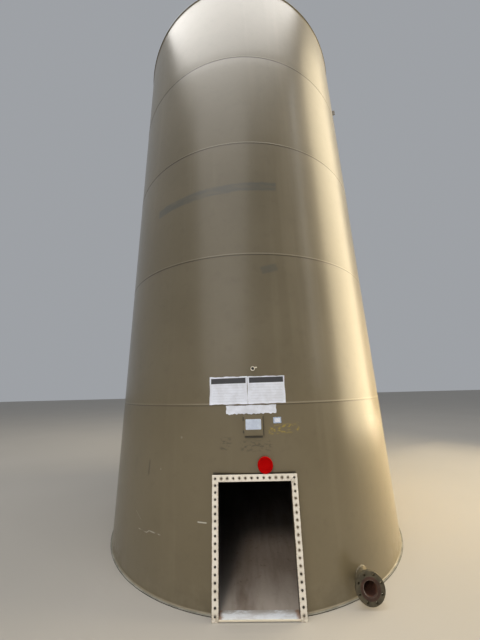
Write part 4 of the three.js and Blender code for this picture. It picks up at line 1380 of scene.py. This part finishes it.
vinyl = Paint("white_vinyl", coat_weight=0.08, coat_roughness=0.3)
x, y, z = vinyl.axes()
turn = x.math("ARCTAN2", y * -1) * DEGREES
grey = vinyl.noise(12, 4, 0.6)
stain = vinyl.noise(45, 4, 0.7)
colour = vinyl.mix(grey.over(0.35, 0.68), (0.78, 0.82, 0.92), (0.68, 0.71, 0.79))
colour = vinyl.mix(stain.over(0.6, 0.72) * 0.3, colour, (0.45, 0.42, 0.34))

# Faint ruling crosses the panels under a plain dark header bar, and the tag has a blue-grey border.
ruling = z.nearest(1.557, 0.024).size().over(0.0016, 0.0009) * z.within(1.55, 1.71, 0.004)
ruled_width = (turn.within(-11.4, -2.2, 0.1) + turn.within(-0.2, 9.0, 0.1)).math("MINIMUM", 1.0)
colour = vinyl.mix(ruling * ruled_width * 0.35, colour, (0.35, 0.38, 0.44))
header = (turn.within(-11.9, -1.6, 0.05) + turn.within(-0.6, 9.45, 0.05)).math("MINIMUM", 1.0)
header = header * (z - turn * 0.0003).within(1.7185, 1.768, 0.001)
colour = vinyl.mix(header * 0.97, colour, (0.022, 0.022, 0.026))
tag_edge = turn.within(5.5, 8.4, 0.05) * z.within(1.355, 1.425, 0.004)
tag_edge = tag_edge * (1 - turn.within(6.2, 7.75, 0.08) * z.within(1.373, 1.406, 0.002))
colour = vinyl.mix(tag_edge * 0.8, colour, (0.32, 0.42, 0.6))
vinyl_finish = vinyl.finish(
    base_color=colour, roughness=0.4 + 0.25 * grey, normal=vinyl.bump(grey, 1.2)
)


def stuck_sheet(name, west, east, low, high, wobble, curl, tilt=0.0, torn=0.0):
    """A thin sheet on the drum between two azimuths in degrees. wobble waves its edges, curl lifts its
    corners, tilt turns it and torn roughens its lower edge, all in metres but tilt."""
    layout = Layout(np.linspace(0, 1, 49), np.linspace(0, 1, 25))
    u, v = layout.points[:, 0], layout.points[:, 1]
    width = math.radians(east - west) * SHELL_RADIUS
    around = math.radians(west) * SHELL_RADIUS + u * width + wobble * np.sin(9 * v + west) * (2 * u - 1)
    edge_wave = np.sin(13 * u + 5 * west) + 0.6 * np.sin(31 * u + west)
    height = low + v * (high - low) + wobble * edge_wave * (2 * v - 1) + tilt * (u - 0.5) * width
    height = height + torn * (1 - v) ** 3 * (np.sin(47 * u + 1) + np.sin(83 * u)) * 0.5
    corner = (np.abs(2 * u - 1) * np.abs(2 * v - 1)) ** 6
    over_bead = BEAD_RISE * np.exp(-(((height - BOTTOM_TOP - COURSE_HEIGHT) / 0.009) ** 2))
    lift = SHEET_GAP + over_bead + curl * corner + 0.0003 * (1 + np.sin(17 * u + 11 * v))
    flat = np.stack([around, height], axis=1)
    front, back = on_drum(flat, lift + SHEET_THICKNESS), on_drum(flat, lift)
    solid = layout.plate(lambda points: front, lambda points: back)
    return make(name, *solid, vinyl_finish, "cream_paint")


stuck_sheet("blank_panel_left", -12.29, -1.2, 1.533, 1.779, 0.002, 0.004, 0.004)
stuck_sheet("blank_panel_right", -1.1, 9.8, 1.535, 1.778, 0.0014, 0.003, 0.006)
stuck_sheet("blank_strip", -7.4, 6.85, 1.449, 1.522, 0.0018, 0.002, 0.006, torn=0.005)
stuck_sheet("blank_tag", 5.86, 8.09, 1.364, 1.415, 0.0008, 0.001)


# Studio. A plain pale floor lies under a soft dome, with panels to the right, in front and over the
# deck, a low one that grazes the right side, and a small one for the clean-out. The camera is at eye
# height, 2.4 m in front of the clean-out, and looks up.
PHOTO_HEIGHT = 640
SENSOR = 36
FOCAL_PIXELS = 252.55
EYE = Vector((-0.044, -4.244, 1.6684))
EYE_TURN, EYE_TILT, EYE_ROLL = (math.radians(degrees) for degrees in (-1.045, 15.224, -1.478))
FLOOR_REACH = 60

level_ahead = Vector((math.sin(EYE_TURN), math.cos(EYE_TURN), 0))
ahead = math.cos(EYE_TILT) * level_ahead + math.sin(EYE_TILT) * Vector((0, 0, 1))
level_right = level_ahead.cross((0, 0, 1))
level_up = level_right.cross(ahead)
camera_right = math.cos(EYE_ROLL) * level_right + math.sin(EYE_ROLL) * level_up
camera_up = math.cos(EYE_ROLL) * level_up - math.sin(EYE_ROLL) * level_right
camera = bpy.data.objects.new("camera", bpy.data.cameras.new("camera"))
camera.data.sensor_width = SENSOR
camera.data.lens = SENSOR * FOCAL_PIXELS / PHOTO_HEIGHT
camera.data.clip_start = 0.05
camera.data.clip_end = 300
turned_to = Matrix((camera_right, camera_up, -ahead)).transposed().to_4x4()
camera.matrix_world = Matrix.Translation(EYE) @ turned_to
bpy.context.scene.collection.objects.link(camera)
bpy.context.scene.camera = camera


def lamp(name, place, target, size, watts, colour, spread=180, glossy=True, shape="RECTANGLE"):
    """An area lamp of a (width, height) at a place, facing a target, which the camera doesn't see. A
    narrow spread in degrees keeps its light near its axis. Without glossy it leaves no highlight."""
    light = bpy.data.objects.new(name, bpy.data.lights.new(name, "AREA"))
    light.data.shape = shape
    light.data.size, light.data.size_y = size
    light.data.energy = watts
    light.data.color = colour
    light.data.spread = math.radians(spread)
    light.location = place
    light.rotation_euler = (Vector(target) - Vector(place)).to_track_quat("-Z", "Y").to_euler()
    light.visible_camera = False
    light.visible_glossy = glossy
    bpy.context.scene.collection.objects.link(light)


lamp("side_panel", (8, -0.2, 9.5), (0, -0.2, 9.5), (5.6, 18.8), 1150, (1, 0.84, 0.55), spread=140)
lamp(
    "low_panel", (7.4, 3.2, 0.4), (0.9, -1, 1.5), (3.6, 0.6), 300, (1, 0.83, 0.55),
    spread=36, glossy=False,
)
lamp("front_panel", (-3.6, -10.5, 8.5), (0, 0, 3.5), (8, 15), 430, (1, 0.96, 0.9))
lamp(
    "door_panel", (-1.5, -7.9, 5.8), (0, -1.2, 0), (1.4, 1.4), 6, (1, 0.93, 0.86),
    spread=30, glossy=False,
)
lamp("slim_panel", (9.3, -6.9, 9), (0, 0, 4.5), (0.7, 16), 90, (0.95, 0.98, 1))
lamp("top_panel", (-0.6, -2.6, 16), (-0.6, -2.6, 0), (11, 9.4), 1150, (1, 0.97, 0.92), shape="ELLIPSE")

world = bpy.data.worlds.new("studio_dome")
world.use_nodes = True
dome_light = world.node_tree.nodes["Background"].inputs
dome_light["Color"].default_value = (0.9, 0.94, 1, 1)
dome_light["Strength"].default_value = 0.38
bpy.context.scene.world = world
bpy.context.scene.view_settings.view_transform = "Standard"

floor_board = Paint("studio_floor")
shade = floor_board.noise(0.5, 2, 0.5)
colour = floor_board.mix(shade, (0.42, 0.395, 0.355), (0.46, 0.435, 0.395))
floor_look = floor_board.finish(base_color=colour, roughness=0.85 + 0.05 * shade)
floor_corners = FLOOR_REACH * np.array([(-1, -1, 0), (1, -1, 0), (1, 1, 0), (-1, 1, 0)])
floor_mesh = bpy.data.meshes.new("studio_floor")
floor_mesh.from_pydata(floor_corners.tolist(), [], [(0, 1, 2, 3)])
floor_mesh.materials.append(floor_look)
studio_floor = bpy.data.objects.new("studio_floor", floor_mesh)
bpy.context.scene.collection.objects.link(studio_floor)
